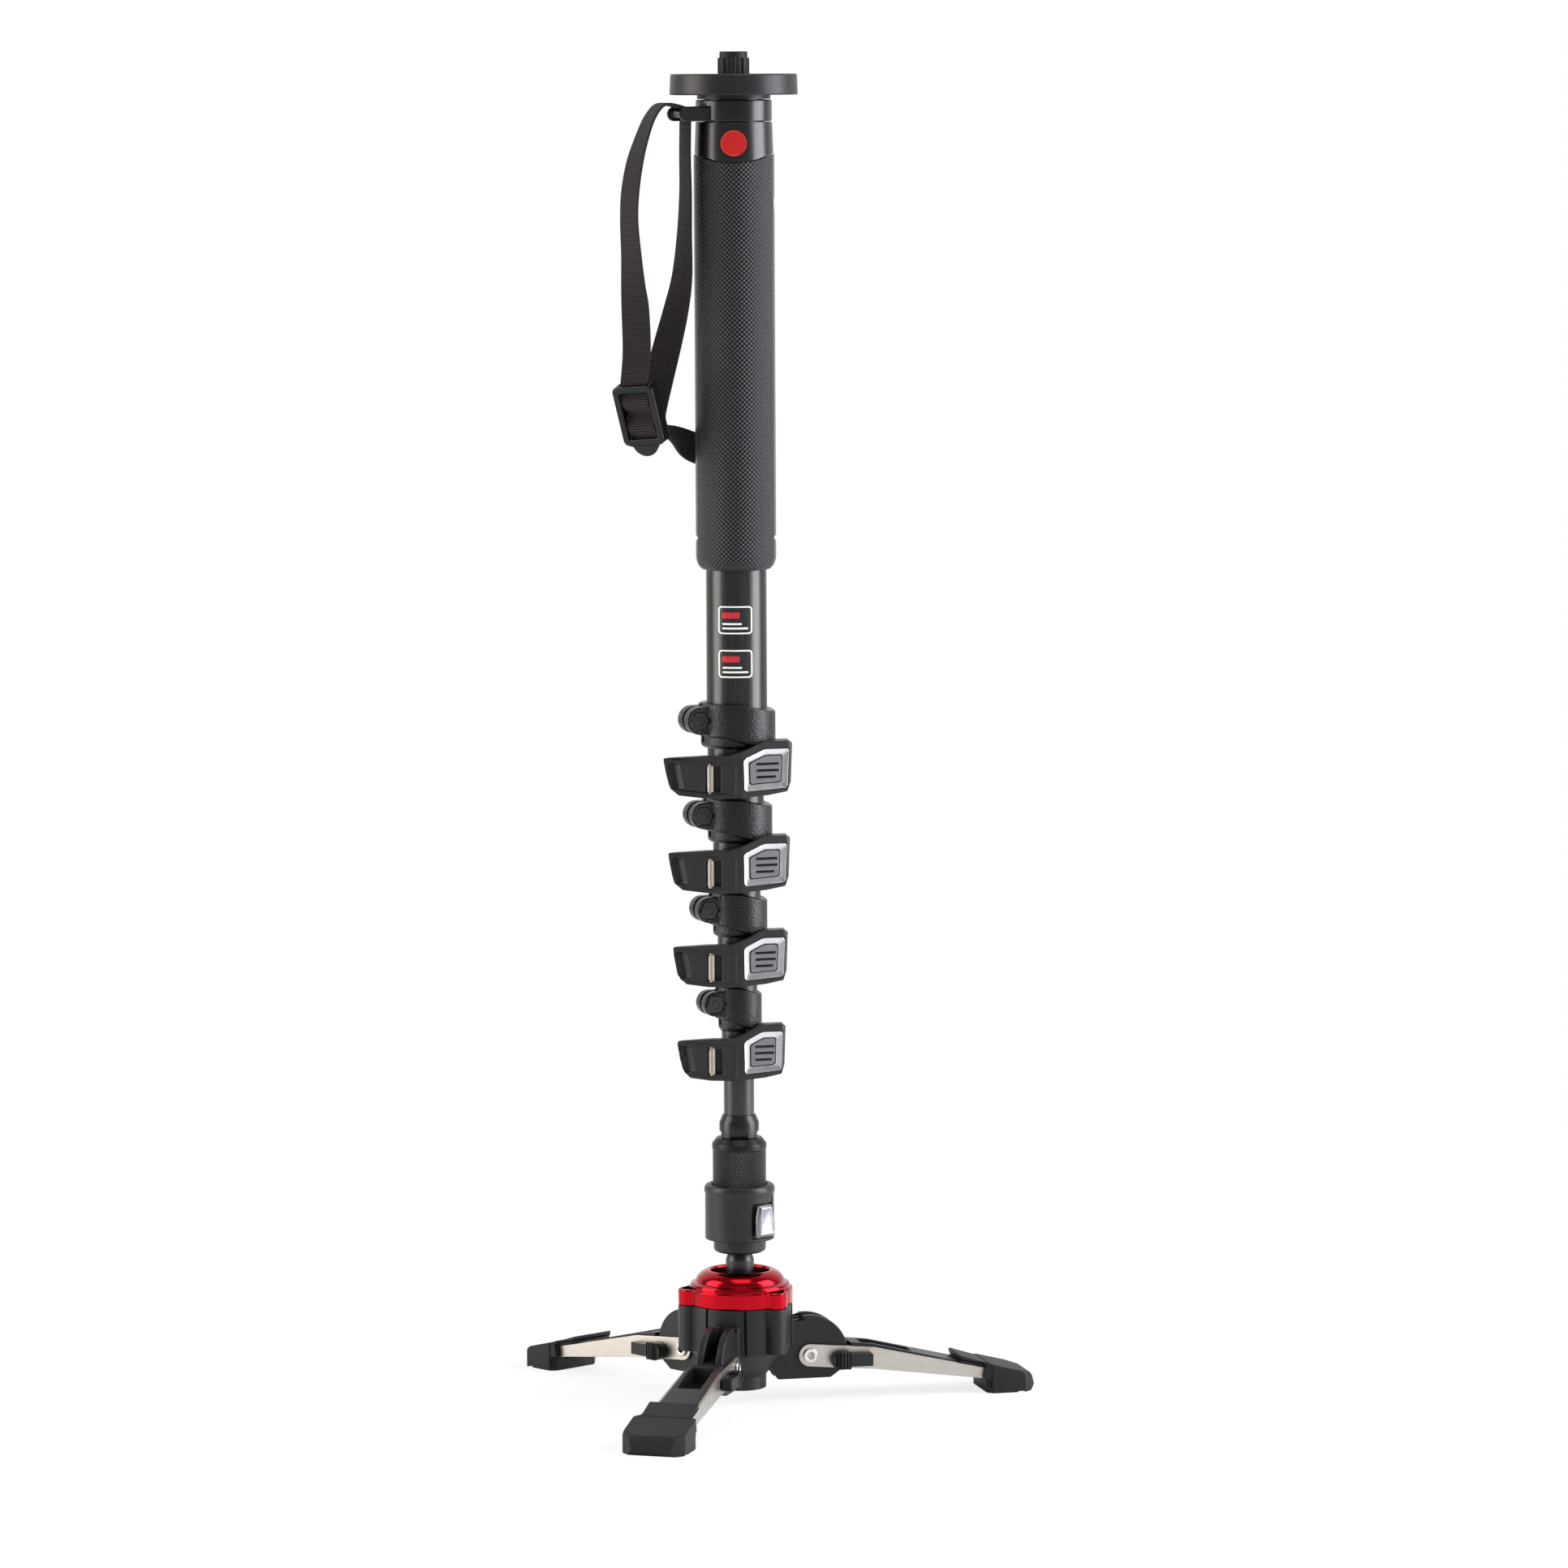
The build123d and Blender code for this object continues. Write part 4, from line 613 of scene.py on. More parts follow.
def copy_of(node, name, joined=True):
    """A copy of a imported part's mesh with its doubles merged; one that is cut first is joined later."""
    obj = bpy.data.objects.new(name, nodes[node].data.copy())
    bpy.context.collection.objects.link(obj)
    obj.data.materials.clear()
    activate(obj)
    bpy.ops.mesh.customdata_custom_splitnormals_clear()
    bpy.ops.object.mode_set(mode="EDIT")
    bpy.ops.mesh.select_all(action="SELECT")
    bpy.ops.mesh.remove_doubles(threshold=0.005 * MM)
    leave_edit()
    if joined:
        join_flat(obj)
    return obj


def cut(obj, tool, operation="DIFFERENCE"):
    """Cut a piece with another one, which is used up."""
    modify(obj, "BOOLEAN", object=tool, operation=operation, solver="EXACT")
    bpy.data.objects.remove(tool)


def block(name, centre, size, turn=(0, 0, 0)):
    """A box of a size in mm about its centre, turned by degrees."""
    obj = added(name, bpy.ops.mesh.primitive_cube_add, size=1, location=[c * MM for c in centre],
                rotation=[math.radians(t) for t in turn])
    obj.scale = [s * MM for s in size]
    bpy.ops.object.transform_apply(location=True, rotation=True, scale=True)
    return obj


def rod(name, centre, radius, length, turn=(0, 0, 0), sides=48):
    """A round bar about its centre, upright unless it is turned."""
    obj = added(name, bpy.ops.mesh.primitive_cylinder_add, vertices=sides, radius=radius * MM,
                depth=length * MM, location=[c * MM for c in centre],
                rotation=[math.radians(t) for t in turn])
    bpy.ops.object.transform_apply(location=True, rotation=True, scale=True)
    return obj


def draw_outline(name, points):
    """A closed line through points in mm, left in edit mode with all of it selected."""
    obj = added(name, bpy.ops.mesh.primitive_plane_add, size=MM, location=(0, 0, 0))
    bpy.ops.object.mode_set(mode="EDIT")
    bpy.ops.mesh.select_mode(type="VERT")
    bpy.ops.mesh.select_all(action="SELECT")
    bpy.ops.mesh.merge(type="CENTER")
    bpy.ops.transform.translate(value=[c * MM for c in points[0]])
    for before, after in zip(points, points[1:] + points[:1]):
        step = [(there - here) * MM for here, there in zip(before, after)]
        bpy.ops.mesh.extrude_vertices_move(TRANSFORM_OT_translate={"value": step})
    bpy.ops.mesh.select_all(action="SELECT")
    bpy.ops.mesh.remove_doubles(threshold=0.001 * MM)
    return obj


def lathe(name, profile, steps=96):
    """Turn a closed outline of (radius, height) points in mm about the tube axis."""
    obj = draw_outline(name, [(radius, 0, height) for radius, height in profile])
    bpy.ops.mesh.spin(steps=steps, angle=math.tau, center=(0, 0, 0), axis=(0, 0, 1))
    bpy.ops.mesh.select_all(action="SELECT")
    bpy.ops.mesh.remove_doubles(threshold=0.001 * MM)
    bpy.ops.mesh.normals_make_consistent(inside=False)
    leave_edit()
    return obj


def polar(reach, heading, height=0):
    """A point by its distance from the tube axis, its heading in degrees and its height."""
    turn = math.radians(heading)
    return reach * math.cos(turn), reach * math.sin(turn), height


def placement(x_axis, y_axis, z_axis, origin):
    """The matrix that lays a piece along three axes, at a point in mm."""
    matrix = Matrix((x_axis, y_axis, z_axis)).transposed().to_4x4()
    matrix.translation = origin * MM
    return matrix


def fit(obj, material, body, slot, *replaced):
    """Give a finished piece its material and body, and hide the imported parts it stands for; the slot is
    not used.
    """
    if not obj.data.materials:
        obj.data.materials.append(material)
    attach(obj, body)
    if replaced:
        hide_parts(*replaced)
    print(obj.name, len(obj.data.polygons), "faces, on", body)


# %% Rounded copies
def dress(node, name, width, segments, material, body, slot):
    """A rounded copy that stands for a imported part."""
    piece = copy_of(node, name)
    soften(piece, width, segments)
    fit(piece, material, body, slot, node)


ROUNDED = [
    ("strap_ring", cap_plastic, "strap_swivel", "black_plastic", 0.7),
    ("grip_cap", cap_plastic, "section_1", "black_plastic", 0.4),
    ("stud_cap", foot_rubber, "stud_cover", "black_plastic", 0.45),
]
ROUNDED += [(f"lock_fasteners_{n}", dark_steel, f"section_{n}", "dark_steel", 0.3) for n in LOCKS]
ROUNDED += [(f"leg_plates_{k}", stainless, f"leg_{k}", "steel", 0.25) for k in LEGS]
ROUNDED += [(f"leg_spar_{k}", hub_plastic, f"leg_{k}", "black_plastic", 0.5) for k in LEGS]
for node, material, body, slot, width in ROUNDED:
    dress(node, "rounded_" + node, width, 2, material, body, slot)
print("rounded", len(ROUNDED), "parts")

# %% [markdown]
# The legs turn on hollow rivets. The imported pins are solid, so a thin rod is cut out of each
# one first, and the bevel then rounds the rim inside and outside in one go.

# %% Hollow rivets
LEG_TURN = 13.4
PIN_REACH, PIN_HEIGHT, PIN_HOLE = 34, 22.7, 1.7


def leg_heading(k):
    """Which way leg k points, in degrees."""
    return LEG_TURN + 120 * (k - 1)


rivets = copy_of("leg_pins", "hollow_rivets", joined=False)
for k in LEGS:
    place = polar(PIN_REACH, leg_heading(k), PIN_HEIGHT)
    cut(rivets, rod("hollow", place, PIN_HOLE, 40, (90, 0, leg_heading(k)), 32))
join_flat(rivets)
soften(rivets, 0.4, 3)
fit(rivets, rivet_steel, "base", "steel", "leg_pins")

# %% [markdown]
# ## Tube locks
#
# Each lock is a cast band with two ears, pulled together by a lever. The real castings
# have generous edges, so the bevel is wide. The lever is a curved shell with a raised rim,
# a scoop for the fingertip at its left end, a window and a bright frame. Rim and scoop
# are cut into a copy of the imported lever: a shallow field leaves the rim standing, and a
# slanted wedge makes the scoop. Then every edge is rounded.

# %% Lock sizes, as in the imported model
LOCK_TOP = 343.6
LOCK_PITCH = 47.3
BAND = (19.1, 17.3, 14.6, 11.6)
LEVER_TOP, LEVER_BOTTOM = 9.6, 37.8
CREASE = 0.085


def lock_z(n):
    """Height of the clamp screw of lock n."""
    return LOCK_TOP - (n - 1) * LOCK_PITCH


def lever_size(n):
    """How far lever n reaches left and right, and its front."""
    return 36.6 - (n - 1) * 2.05, 27.3 - (n - 1) * 1.3, BAND[n - 1] + 4.9


# %% Flat plates
def slab(name, outline, low, high, corner):
    """A flat plate with an outline in mm, rounded corners, between two heights."""
    obj = draw_outline(name, [(x, y, low) for x, y in outline])
    if corner:
        bpy.ops.mesh.bevel(offset=corner * MM, segments=4, affect="VERTICES", clamp_overlap=True)
    bpy.ops.mesh.select_all(action="SELECT")
    bpy.ops.mesh.edge_face_add()
    bpy.ops.mesh.extrude_region_move(TRANSFORM_OT_translate={"value": (0, 0, (high - low) * MM)})
    bpy.ops.mesh.select_all(action="SELECT")
    bpy.ops.mesh.normals_make_consistent(inside=False)
    leave_edit()
    return obj


def shrunk(outline, margin):
    """The same outline, drawn in by a margin on every side; it runs clockwise."""
    points = [Vector(p) for p in outline]
    result = []
    for before, here, after in zip(points[-1:] + points[:-1], points, points[1:] + points[:1]):
        one, two = (here - before).normalized(), (after - here).normalized()
        inward = Vector((one.y, -one.x)) + Vector((two.y, -two.x))
        result.append(tuple(here + inward * margin / (1 + one.dot(two))))
    return result


def set_down(obj, matrix):
    """Move a piece to its place and leave the place in its mesh."""
    obj.matrix_world = matrix
    activate(obj)
    bpy.ops.object.transform_apply(location=True, rotation=True, scale=True)


# %% Clamp bands
for n in LOCKS:
    dress(f"lock_collar_{n}", f"clamp_band_{n}", 0.7, 3, painted_alloy, f"section_{n}", "black_alloy")

# %% Levers
TIP_BEVEL = 1.8
FIELD_DEPTH = 0.6
SCOOP_LEAN = 2.4
for n in LOCKS:
    left, right, front = lever_size(n)
    crease = CREASE * right
    lean = math.atan2(front * 0.26, left + crease)
    lever = copy_of(f"lock_lever_{n}", f"lever_shell_{n}")
    round_edges(lever, TIP_BEVEL, lambda one, two: abs((one - two).normalized().y) > 0.8
                and (one - two).length > 1.5 and one.x < -0.8 * left)
    modify(lever, "TRIANGULATE")
    along = Vector((math.cos(lean), -math.sin(lean), 0))
    out = Vector((-math.sin(lean), -math.cos(lean), 0))
    facet = placement(along, Vector((0, 0, 1)), out, Vector((crease, -front, lock_z(n))))
    # a shallow field inside the rim, from the crease to the tip
    tip = -(left + crease) / math.cos(lean)
    field = [(-3.0, -20.4), (tip + 4.2, -18.4), (tip + 3.4, -22.0),
             (tip + 5.9, -33.0), (tip + 8.6, -35.6), (-3.0, -36.2)]
    cutter = slab(f"field_{n}", field, -FIELD_DEPTH, 2.0, 1.2)
    set_down(cutter, facet)
    cut(lever, cutter)
    # the scoop for the fingertip: deep at its left end, and its top leans to the left
    scoop = block(f"scoop_{n}", (tip * 0.79, -27.0, 0.75), (8.2, 13.0, 4.4), (0, -24, 0))
    edit(scoop, faces=lambda centre, normal: normal.y > 0.9)
    bpy.ops.transform.translate(value=(-SCOOP_LEAN * MM, 0, 0))
    leave_edit()
    soften(scoop, 1.2, 3)
    set_down(scoop, facet)
    cut(lever, scoop)
    soften(lever, 0.45, 3, 25)
    fit(lever, lever_plastic, f"lever_{n}", "black_plastic", f"lock_lever_{n}")

# %% Steel rollers
for n in LOCKS:
    dress(f"lock_roller_{n}", f"window_pin_{n}", 0.5, 3, pin_steel, f"lever_{n}", "steel")

# %% [markdown]
# ## Bright frames
#
# The frame on each lever is pressed metal with a satin chrome finish. It is broad, and it
# slopes in towards a grey panel with rounded corners. One outline is drawn on the facet,
# given its thickness, and inset downwards, which makes the slope. The panel carries three
# plain raised bars.

# %% Frames and panels
FRAME_SHARE = ((0.04, 0.70), (0.46, 0.865), (0.93, 0.86), (0.90, 0.17), (0.05, 0.125))
FRAME_THICK = 1.8
# how far the slope reaches in and down, and how far in the gasket and the panel start
SLOPE_IN, SLOPE_DOWN = 2.9, 1.1
GASKET_IN, PANEL_IN = 2.95, 3.45
FRAME_CORNER = 1.3


def facet_frame(n):
    """Matrix of the lever's right-hand facet (x along it, y up, z out of it), and its length."""
    _, right, front = lever_size(n)
    start = Vector((CREASE * right, -front, lock_z(n) - LEVER_BOTTOM))
    end = Vector((right, -0.62 * front, lock_z(n) - LEVER_BOTTOM))
    along = (end - start).normalized()
    up = Vector((0, 0, 1))
    return placement(along, up, along.cross(up), start), (end - start).length


for n in LOCKS:
    matrix, length = facet_frame(n)
    height = LEVER_BOTTOM - LEVER_TOP
    outline = [(length * x, height * y) for x, y in FRAME_SHARE]
    ring = slab(f"bright_frame_{n}", outline, 0.5 - FRAME_THICK, 0.5, 0)
    edit(ring, faces=lambda centre, normal: normal.z > 0.9)
    bpy.ops.mesh.inset(thickness=SLOPE_IN * MM, depth=-SLOPE_DOWN * MM)
    leave_edit()
    round_edges(ring, FRAME_CORNER, lambda one, two: abs(one.z - two.z) > 0.2)
    soften(ring, 0.25, 3, 30)
    set_down(ring, matrix)
    fit(ring, chrome, f"lever_{n}", "chrome", f"lock_badge_{n}")
    gasket = slab(f"frame_gasket_{n}", shrunk(outline, GASKET_IN), -1.2, -0.5, FRAME_CORNER)
    set_down(gasket, matrix)
    fit(gasket, gloss_plastic, f"lever_{n}", "black_plastic")
    panel = slab(f"frame_panel_{n}", shrunk(outline, PANEL_IN), -1.2, -0.25, FRAME_CORNER)
    soften(panel, 0.2)
    for bar in range(3):
        # the lowest bar is the shortest
        wide = length * (0.50 if bar == 2 else 0.56) - length * 0.12
        middle = (length * 0.30 + wide / 2, height * (0.60 - 0.115 * bar), -0.25)
        mark = block(f"bar_{n}_{bar}", middle, (wide, 1.2, 0.5))
        soften(mark, 0.2)
        set_down(mark, matrix)
        fit(mark, gloss_plastic, f"lever_{n}", "black_plastic")
    set_down(panel, matrix)
    fit(panel, panel_grey, f"lever_{n}", "black_plastic")

# %% [markdown]
# ## Grip
#
# The grip is a rubber sleeve pulled over the top tube. Its lower end is rounded, its upper
# end follows the curved seam of the cap, and a scoop for the thumb lies on its right side.
# Two smooth strips run down its sides where the halves of the mould met, and each has a
# small notch near the bottom. The sleeve is turned, then cut.

# %% Grip sleeve
SEAM_LOW, SEAM_RADIUS = 618.9, 48.1
GRIP_BORE, GRIP_RADIUS = 15.05, 19.9
GRIP_LOW, GRIP_TOP = 417.9, 627.0
# how far in and up the rounding of the lower end reaches, and in how many steps
END_IN, END_UP, END_STEPS = 4.2, 7.5, 8
outline = [(GRIP_BORE, GRIP_LOW)]
for step in range(END_STEPS + 1):
    turn = math.radians(90 * step / END_STEPS)
    outline.append((GRIP_RADIUS - END_IN * (1 - math.sin(turn)),
                    GRIP_LOW + END_UP * (1 - math.cos(turn))))
outline += [(GRIP_RADIUS, GRIP_TOP), (GRIP_BORE, GRIP_TOP)]
sleeve = lathe("grip_sleeve", outline, 128)
cut(sleeve, rod("seam", (0, 0, SEAM_LOW + SEAM_RADIUS - 0.35), SEAM_RADIUS, 60, (90, 0, 0), 160))
# the scoop for the thumb: a ball beside the sleeve cuts 1.6 mm into it
cut(sleeve, added("thumb", bpy.ops.mesh.primitive_uv_sphere_add, segments=48, ring_count=32,
                  radius=9.0 * MM, location=(27.3 * MM, -1 * MM, 0.599)))
for side in (-1, 1):
    notch = block("notch", (side * GRIP_RADIUS, 0, 433.5), (2.2, 12.0, 2.2), (0, 45, 0))
    cut(sleeve, notch)
soften(sleeve, 0.3, 2, 40)
fit(sleeve, grip_rubber, "section_1", "rubber", "grip")

# %% Red badge
BADGE_MIDDLE = (0, -19.6 + 0.8 - 0.5, 628.3)
badge = rod("round_badge", BADGE_MIDDLE, 6.5, 1.6, (90, 0, 0), 64)
edit(badge, faces=lambda centre, normal: normal.y < -0.9)
bpy.ops.mesh.inset(thickness=0.5 * MM, depth=0)
bpy.ops.mesh.inset(thickness=0.25 * MM, depth=-0.2 * MM)
leave_edit()
soften(badge, 0.15)
fit(badge, red_gloss, "section_1", "red_badge", "cap_badge")

# %% [markdown]
# ## Base
#
# The cartridge is closed by a ring of red aluminium, turned on a lathe and then milled into
# three lobes. Its dome has a soft shoulder and a small step. The lobed flange is three
# short bars joined to a disc, with wide bevels; each lobe has the head of a screw. The hub
# below it is moulded, with grooves where its blocks meet.

# %% Red ring
FLANGE_MIDDLE, FLANGE_RADIUS, FLANGE_THICK = 54.1, 26.4, 8.2
LOBE_REACH, LOBE_RADIUS, SCREW_REACH = 25.4, 6.2, 27.3
LOBES = [LEG_TURN + 60 + 120 * k for k in range(3)]
dome = lathe("ring_dome", [
    (14.6, 52.0), (14.6, 65.6), (15.0, 66.5), (15.9, 66.8), (17.2, 66.5), (19.4, 65.4), (21.2, 63.7),
    (22.0, 62.2), (22.2, 60.9), (23.4, 60.7), (24.6, 60.2), (25.0, 59.2), (25.0, 57.0), (18.4, 57.0),
    (18.4, 55.4), (18.4, 52.0),
])
soften(dome, 0.25, 3, 25)
fit(dome, red_anodised, "base", "red_alloy", "retaining_ring")
flange = rod("ring_flange", (0, 0, FLANGE_MIDDLE), FLANGE_RADIUS, FLANGE_THICK, sides=128)
for heading in LOBES:
    lobe = rod("lobe", polar(LOBE_REACH, heading, FLANGE_MIDDLE), LOBE_RADIUS, FLANGE_THICK)
    cut(flange, lobe, "UNION")
cut(flange, rod("bore", (0, 0, FLANGE_MIDDLE), 18.5, 12, sides=96))
for k, heading in enumerate(LOBES):
    cut(flange, rod("seat", polar(SCREW_REACH, heading, 58.2), 2.2, 2.0, sides=32))
    head = rod(f"ring_screw_{k + 1}", polar(SCREW_REACH, heading, 57.5), 1.9, 0.8, sides=32)
    edit(head, faces=lambda centre, normal: normal.z > 0.9)
    bpy.ops.mesh.inset(thickness=0.8 * MM, depth=0)
    bpy.ops.mesh.inset(thickness=0.1 * MM, depth=-0.5 * MM)
    leave_edit()
    soften(head, 0.15)
    fit(head, rivet_steel, "base", "steel")
soften(flange, 0.9, 4, 35)
fit(flange, red_anodised, "base", "red_alloy")

# %% Hub
GROOVE_REACH, GROOVE_ASIDE, STEP_REACH = 26.3, 22.5, 28.6
hub = copy_of("base_hub", "moulded_hub", joined=False)
for k in LEGS:
    heading = leg_heading(k)
    for side in (-1, 1):
        facing = heading + side * GROOVE_ASIDE
        cut(hub, block("groove", polar(GROOVE_REACH, facing, 40), (0.9, 0.5, 30), (0, 0, facing)))
    cut(hub, block("step", polar(STEP_REACH, heading, 43.0), (4.6, 20, 4.6), (0, 0, heading)))
join_flat(hub)
soften(hub, 0.6, 3)
fit(hub, hub_plastic, "base", "black_plastic", "base_hub")

# %% [markdown]
# ## Legs
#
# Two stainless plates hold a moulded spar between them, and a rubber shoe sits on the tip.
# The roof of the shoe reaches up over the spar, between two small wings. The thumb latch is
# an oval knob with upright ribs, so that it can be pushed with a gloved finger, and a plain
# block behind it. The ribs are left standing between narrow grooves.

# %% Feet
ROOF_REACH, WING_REACH, WING_ASIDE, TOE_REACH = 118.4, 125.0, 13.6, 138
for k in LEGS:
    foot = copy_of(f"leg_foot_{k}", f"rubber_foot_{k}", joined=False)
    heading = leg_heading(k)
    outward = Vector(polar(1, heading))
    aside = Vector((-outward.y, outward.x, 0))
    roof = outward * ROOF_REACH + Vector((0, 0, 15.4))
    cut(foot, block("filler", roof, (13.9, 24.6, 2.6), (0, 12.75, heading)), "UNION")
    for side in (-1, 1):
        place = outward * WING_REACH + aside * side * WING_ASIDE + Vector((0, 0, 10.8))
        cut(foot, block("wing", place, (4.2, 3.2, 7.4), (0, 12, heading)), "UNION")
    join_flat(foot)
    # the upper edges of the toe are rounder than the rest
    round_edges(foot, 2.2, lambda one, two: min(one.dot(outward), two.dot(outward)) > TOE_REACH
                and min(one.z, two.z) > 5)
    soften(foot, 0.6, 3, 30)
    fit(foot, foot_rubber, f"leg_{k}", "rubber", f"leg_foot_{k}")

# %% Latches
RIB_START, RIB_PITCH, KNOB_ASIDE = 46.3, 1.7, 8.6 + 7.1
for k in LEGS:
    latch = copy_of(f"leg_latch_{k}", f"ribbed_latch_{k}", joined=False)
    along = Vector(polar(1, leg_heading(k)))
    # leg 1 has its latch on the other side
    side = 1 if k == 1 else -1
    outward = Vector((along.y, -along.x, 0)) * side
    for rib in range(5):
        place = along * (RIB_START + RIB_PITCH * rib) + outward * KNOB_ASIDE
        cut(latch, block("gap", (place.x, place.y, 20.1), (0.7, 2.2, 12), (0, 0, leg_heading(k))))
    join_flat(latch)
    soften(latch, 0.35, 2)
    fit(latch, hub_plastic, f"latch_{k}", "black_plastic", f"leg_latch_{k}")

# %% [markdown]
# ## Coupling and tilt lock
#
# The sleeve that joins the foot to the stem is knurled, so that it can be unscrewed by hand,
# and it has a smooth chamfered band at the top. The socket above it has four key notches in
# its lower edge. The collar under it is painted, with a thick rounded lip. Its release button
# is a bright casting with sloping sides.

# %% Foot socket
socket = copy_of("foot_socket", "keyed_socket", joined=False)
for quarter in range(4):
    heading = 90 * quarter - 90
    notch = block("notch", polar(9.6, heading, 135.0), (3.2, 7.6, 3.4), (0, 0, heading))
    edit(notch, faces=lambda centre, normal: normal.z < -0.9)
    bpy.ops.transform.resize(value=(1.2, 1.2, 1))
    leave_edit()
    cut(socket, notch)
join_flat(socket)
soften(socket, 0.3)
fit(socket, satin_alloy, "stem", "black_metal", "foot_socket")

# %% Sleeve, collar and button
coupling = lathe("knurled_coupling", [
    (7.2, 92.0), (13.3, 92.0), (13.3, 127.6), (13.6, 128.0), (13.6, 130.6), (11.2, 133.6), (7.2, 133.6),
])
soften(coupling, 0.25, 2, 25)
fit(coupling, knurled_metal, "stem", "black_metal", "knurled_sleeve")
collar = lathe("tilt_collar", [
    (7.4, 75.8), (11.4, 75.8), (12.8, 76.6), (13.1, 78.0), (13.1, 82.4), (17.0, 82.4), (17.3, 82.8),
    (17.2, 105.4), (17.6, 106.2), (17.6, 108.2), (16.9, 109.7), (15.6, 110.2), (14.4, 110.0),
    (13.9, 109.4), (13.9, 89.6), (7.4, 89.6),
])
BUTTON_HEADING = -44
button_height = Vector((0, 0, 92.9))
out = Vector(polar(1, BUTTON_HEADING))
across = Vector((-out.y, out.x, 0))
cut(collar, block("pocket", out * 18.4 + button_height, (7.0, 14.6, 17.4), (0, 0, BUTTON_HEADING)))
soften(collar, 0.4, 3, 40)
fit(collar, collar_paint, "lock_slider", "black_metal", "tilt_lock_collar")

# the button is drawn flat, x up and y across, and then set into the pocket
BUTTON_SHAPE = ((-8.2, -6.0), (-8.2, 6.4), (-2.0, 6.7), (8.2, 4.4), (8.2, -4.6), (2.0, -5.9))
button = slab("bright_button", BUTTON_SHAPE, -1.3, 0.2, 0)
edit(button, faces=lambda centre, normal: normal.z > 0.9)
bpy.ops.mesh.inset(thickness=1.5 * MM, depth=1.3 * MM)
bpy.ops.mesh.inset(thickness=1.0 * MM, depth=-0.3 * MM)
leave_edit()
soften(button, 0.45, 3, 20)
set_down(button, placement(Vector((0, 0, 1)), across, out, out * 17.9 + button_height))
edit(button, faces=lambda centre, normal: True)
bpy.ops.mesh.normals_make_consistent(inside=False)
leave_edit()
fit(button, zinc_button, "lock_button", "chrome", "release_button")

# %% [markdown]
# ## Strap and buckle
#
# The wrist strap is ribbed nylon webbing, a flat ribbon that twists as it hangs. It is laid
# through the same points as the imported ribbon, smoothed between them, and given its real
# thickness. Each point of the loop says where it is from the ring's bar, in shares of the
# drop, and which way the ribbon's width faces, in degrees; the tail says that as a direction.
# The first points weave it through the buckle: it bulges out of the window above and below
# the middle bar, which lies behind it. Its own map runs in millimetres, across and along, so
# the ribs follow it.

# %% Path of the webbing
STRAP_WIDTH, STRAP_THICK, STRAP_DROP = 15.0, 1.2, 160.0
BAR_PLACE = Vector(polar(28, 200, 642.58))
LOOP_SHARE = (
    (-0.137, -0.044, -0.729, 157.0), (-0.140, -0.048, -0.600, 155.0), (-0.146, -0.049, -0.525, 142.0),
    (-0.151, -0.051, -0.435, 131.0), (-0.157, -0.052, -0.325, 125.0), (-0.153, -0.051, -0.235, 125.0),
    (-0.138, -0.048, -0.145, 122.0), (-0.117, -0.041, -0.073, 116.0), (-0.095, -0.034, -0.016, 112.0),
    (-0.070, -0.025, 0.021, 110.0), (-0.048, -0.0175, 0.031, 110.0), (-0.023, -0.009, 0.0275, 110.0),
    (0.0, 0.0, 0.020, 110.0), (0.012, 0.0045, 0.013, 110.0), (0.0170, 0.0062, 0.0, 110.0),
    (0.016, 0.006, -0.030, 110.0), (0.0145, 0.006, -0.125, 110.0), (0.0155, 0.006, -0.240, 112.0),
    (0.011, 0.004, -0.375, 118.0), (0.003, 0.0005, -0.500, 131.0), (-0.016, -0.004, -0.600, 145.0),
    (-0.041, -0.0075, -0.700, 156.0), (-0.067, -0.010, -0.800, 163.0), (-0.088, -0.0115, -0.885, 166.0),
)
TAIL_SHARE = (
    ((-0.095, -0.0115, -0.930), (-0.97, 0.24, 0.0)), ((-0.088, -0.009, -0.965), (-0.95, 0.30, 0.10)),
    ((-0.068, 0.006, -0.980), (-0.80, 0.50, 0.30)), ((-0.042, 0.038, -0.990), (-0.50, 0.50, 0.70)),
    ((-0.008, 0.085, -1.008), (-0.20, 0.20, 0.95)), ((0.028, 0.132, -1.028), (0.0, 0.0, 1.0)),
    ((0.072, 0.176, -1.048), (0.0, 0.0, 1.0)), ((0.122, 0.205, -1.068), (0.0, 0.0, 1.0)),
)
rail_up = Vector((-0.21, -0.25, 0.945)).normalized()
to_right = Vector((0.88, -0.467, 0.072)).normalized()
forward = to_right.cross(rail_up)
buckle_middle = BAR_PLACE + Vector((-0.126, -0.046, -0.9175)) * STRAP_DROP
WEAVE = ((-14.6, -0.4), (-12.4, -0.3), (-6.4, 2.2), (0.0, -1.0), (6.4, 2.2), (12.4, -0.3), (15.5, -0.2))
route = [(buckle_middle + rail_up * up + forward * out, -to_right) for up, out in WEAVE]
for right, back, up, width in LOOP_SHARE:
    across = Vector(polar(1, width))
    route.append((BAR_PLACE + Vector((right, back, up)) * STRAP_DROP, across))
for share, width in TAIL_SHARE:
    route.append((BAR_PLACE + Vector(share) * STRAP_DROP, Vector(width)))


def between(before, start, end, after, share):
    """A smooth path through points: where it is between the middle two."""
    a = (end - before) * 0.5
    b = (after - start) * 0.5
    t, u = share, 1 - share
    return start * (u * u * (1 + 2 * t)) + a * (t * u * u) + end * (t * t * (3 - 2 * t)) - b * (t * t * u)


STRAP_STEPS = 6
stations = []
for i in range(len(route) - 1):
    four = [route[min(max(i + k, 0), len(route) - 1)] for k in (-1, 0, 1, 2)]
    for step in range(STRAP_STEPS):
        share = step / STRAP_STEPS
        stations.append(tuple(between(*[point[part] for point in four], share) for part in (0, 1)))
stations.append(route[-1])
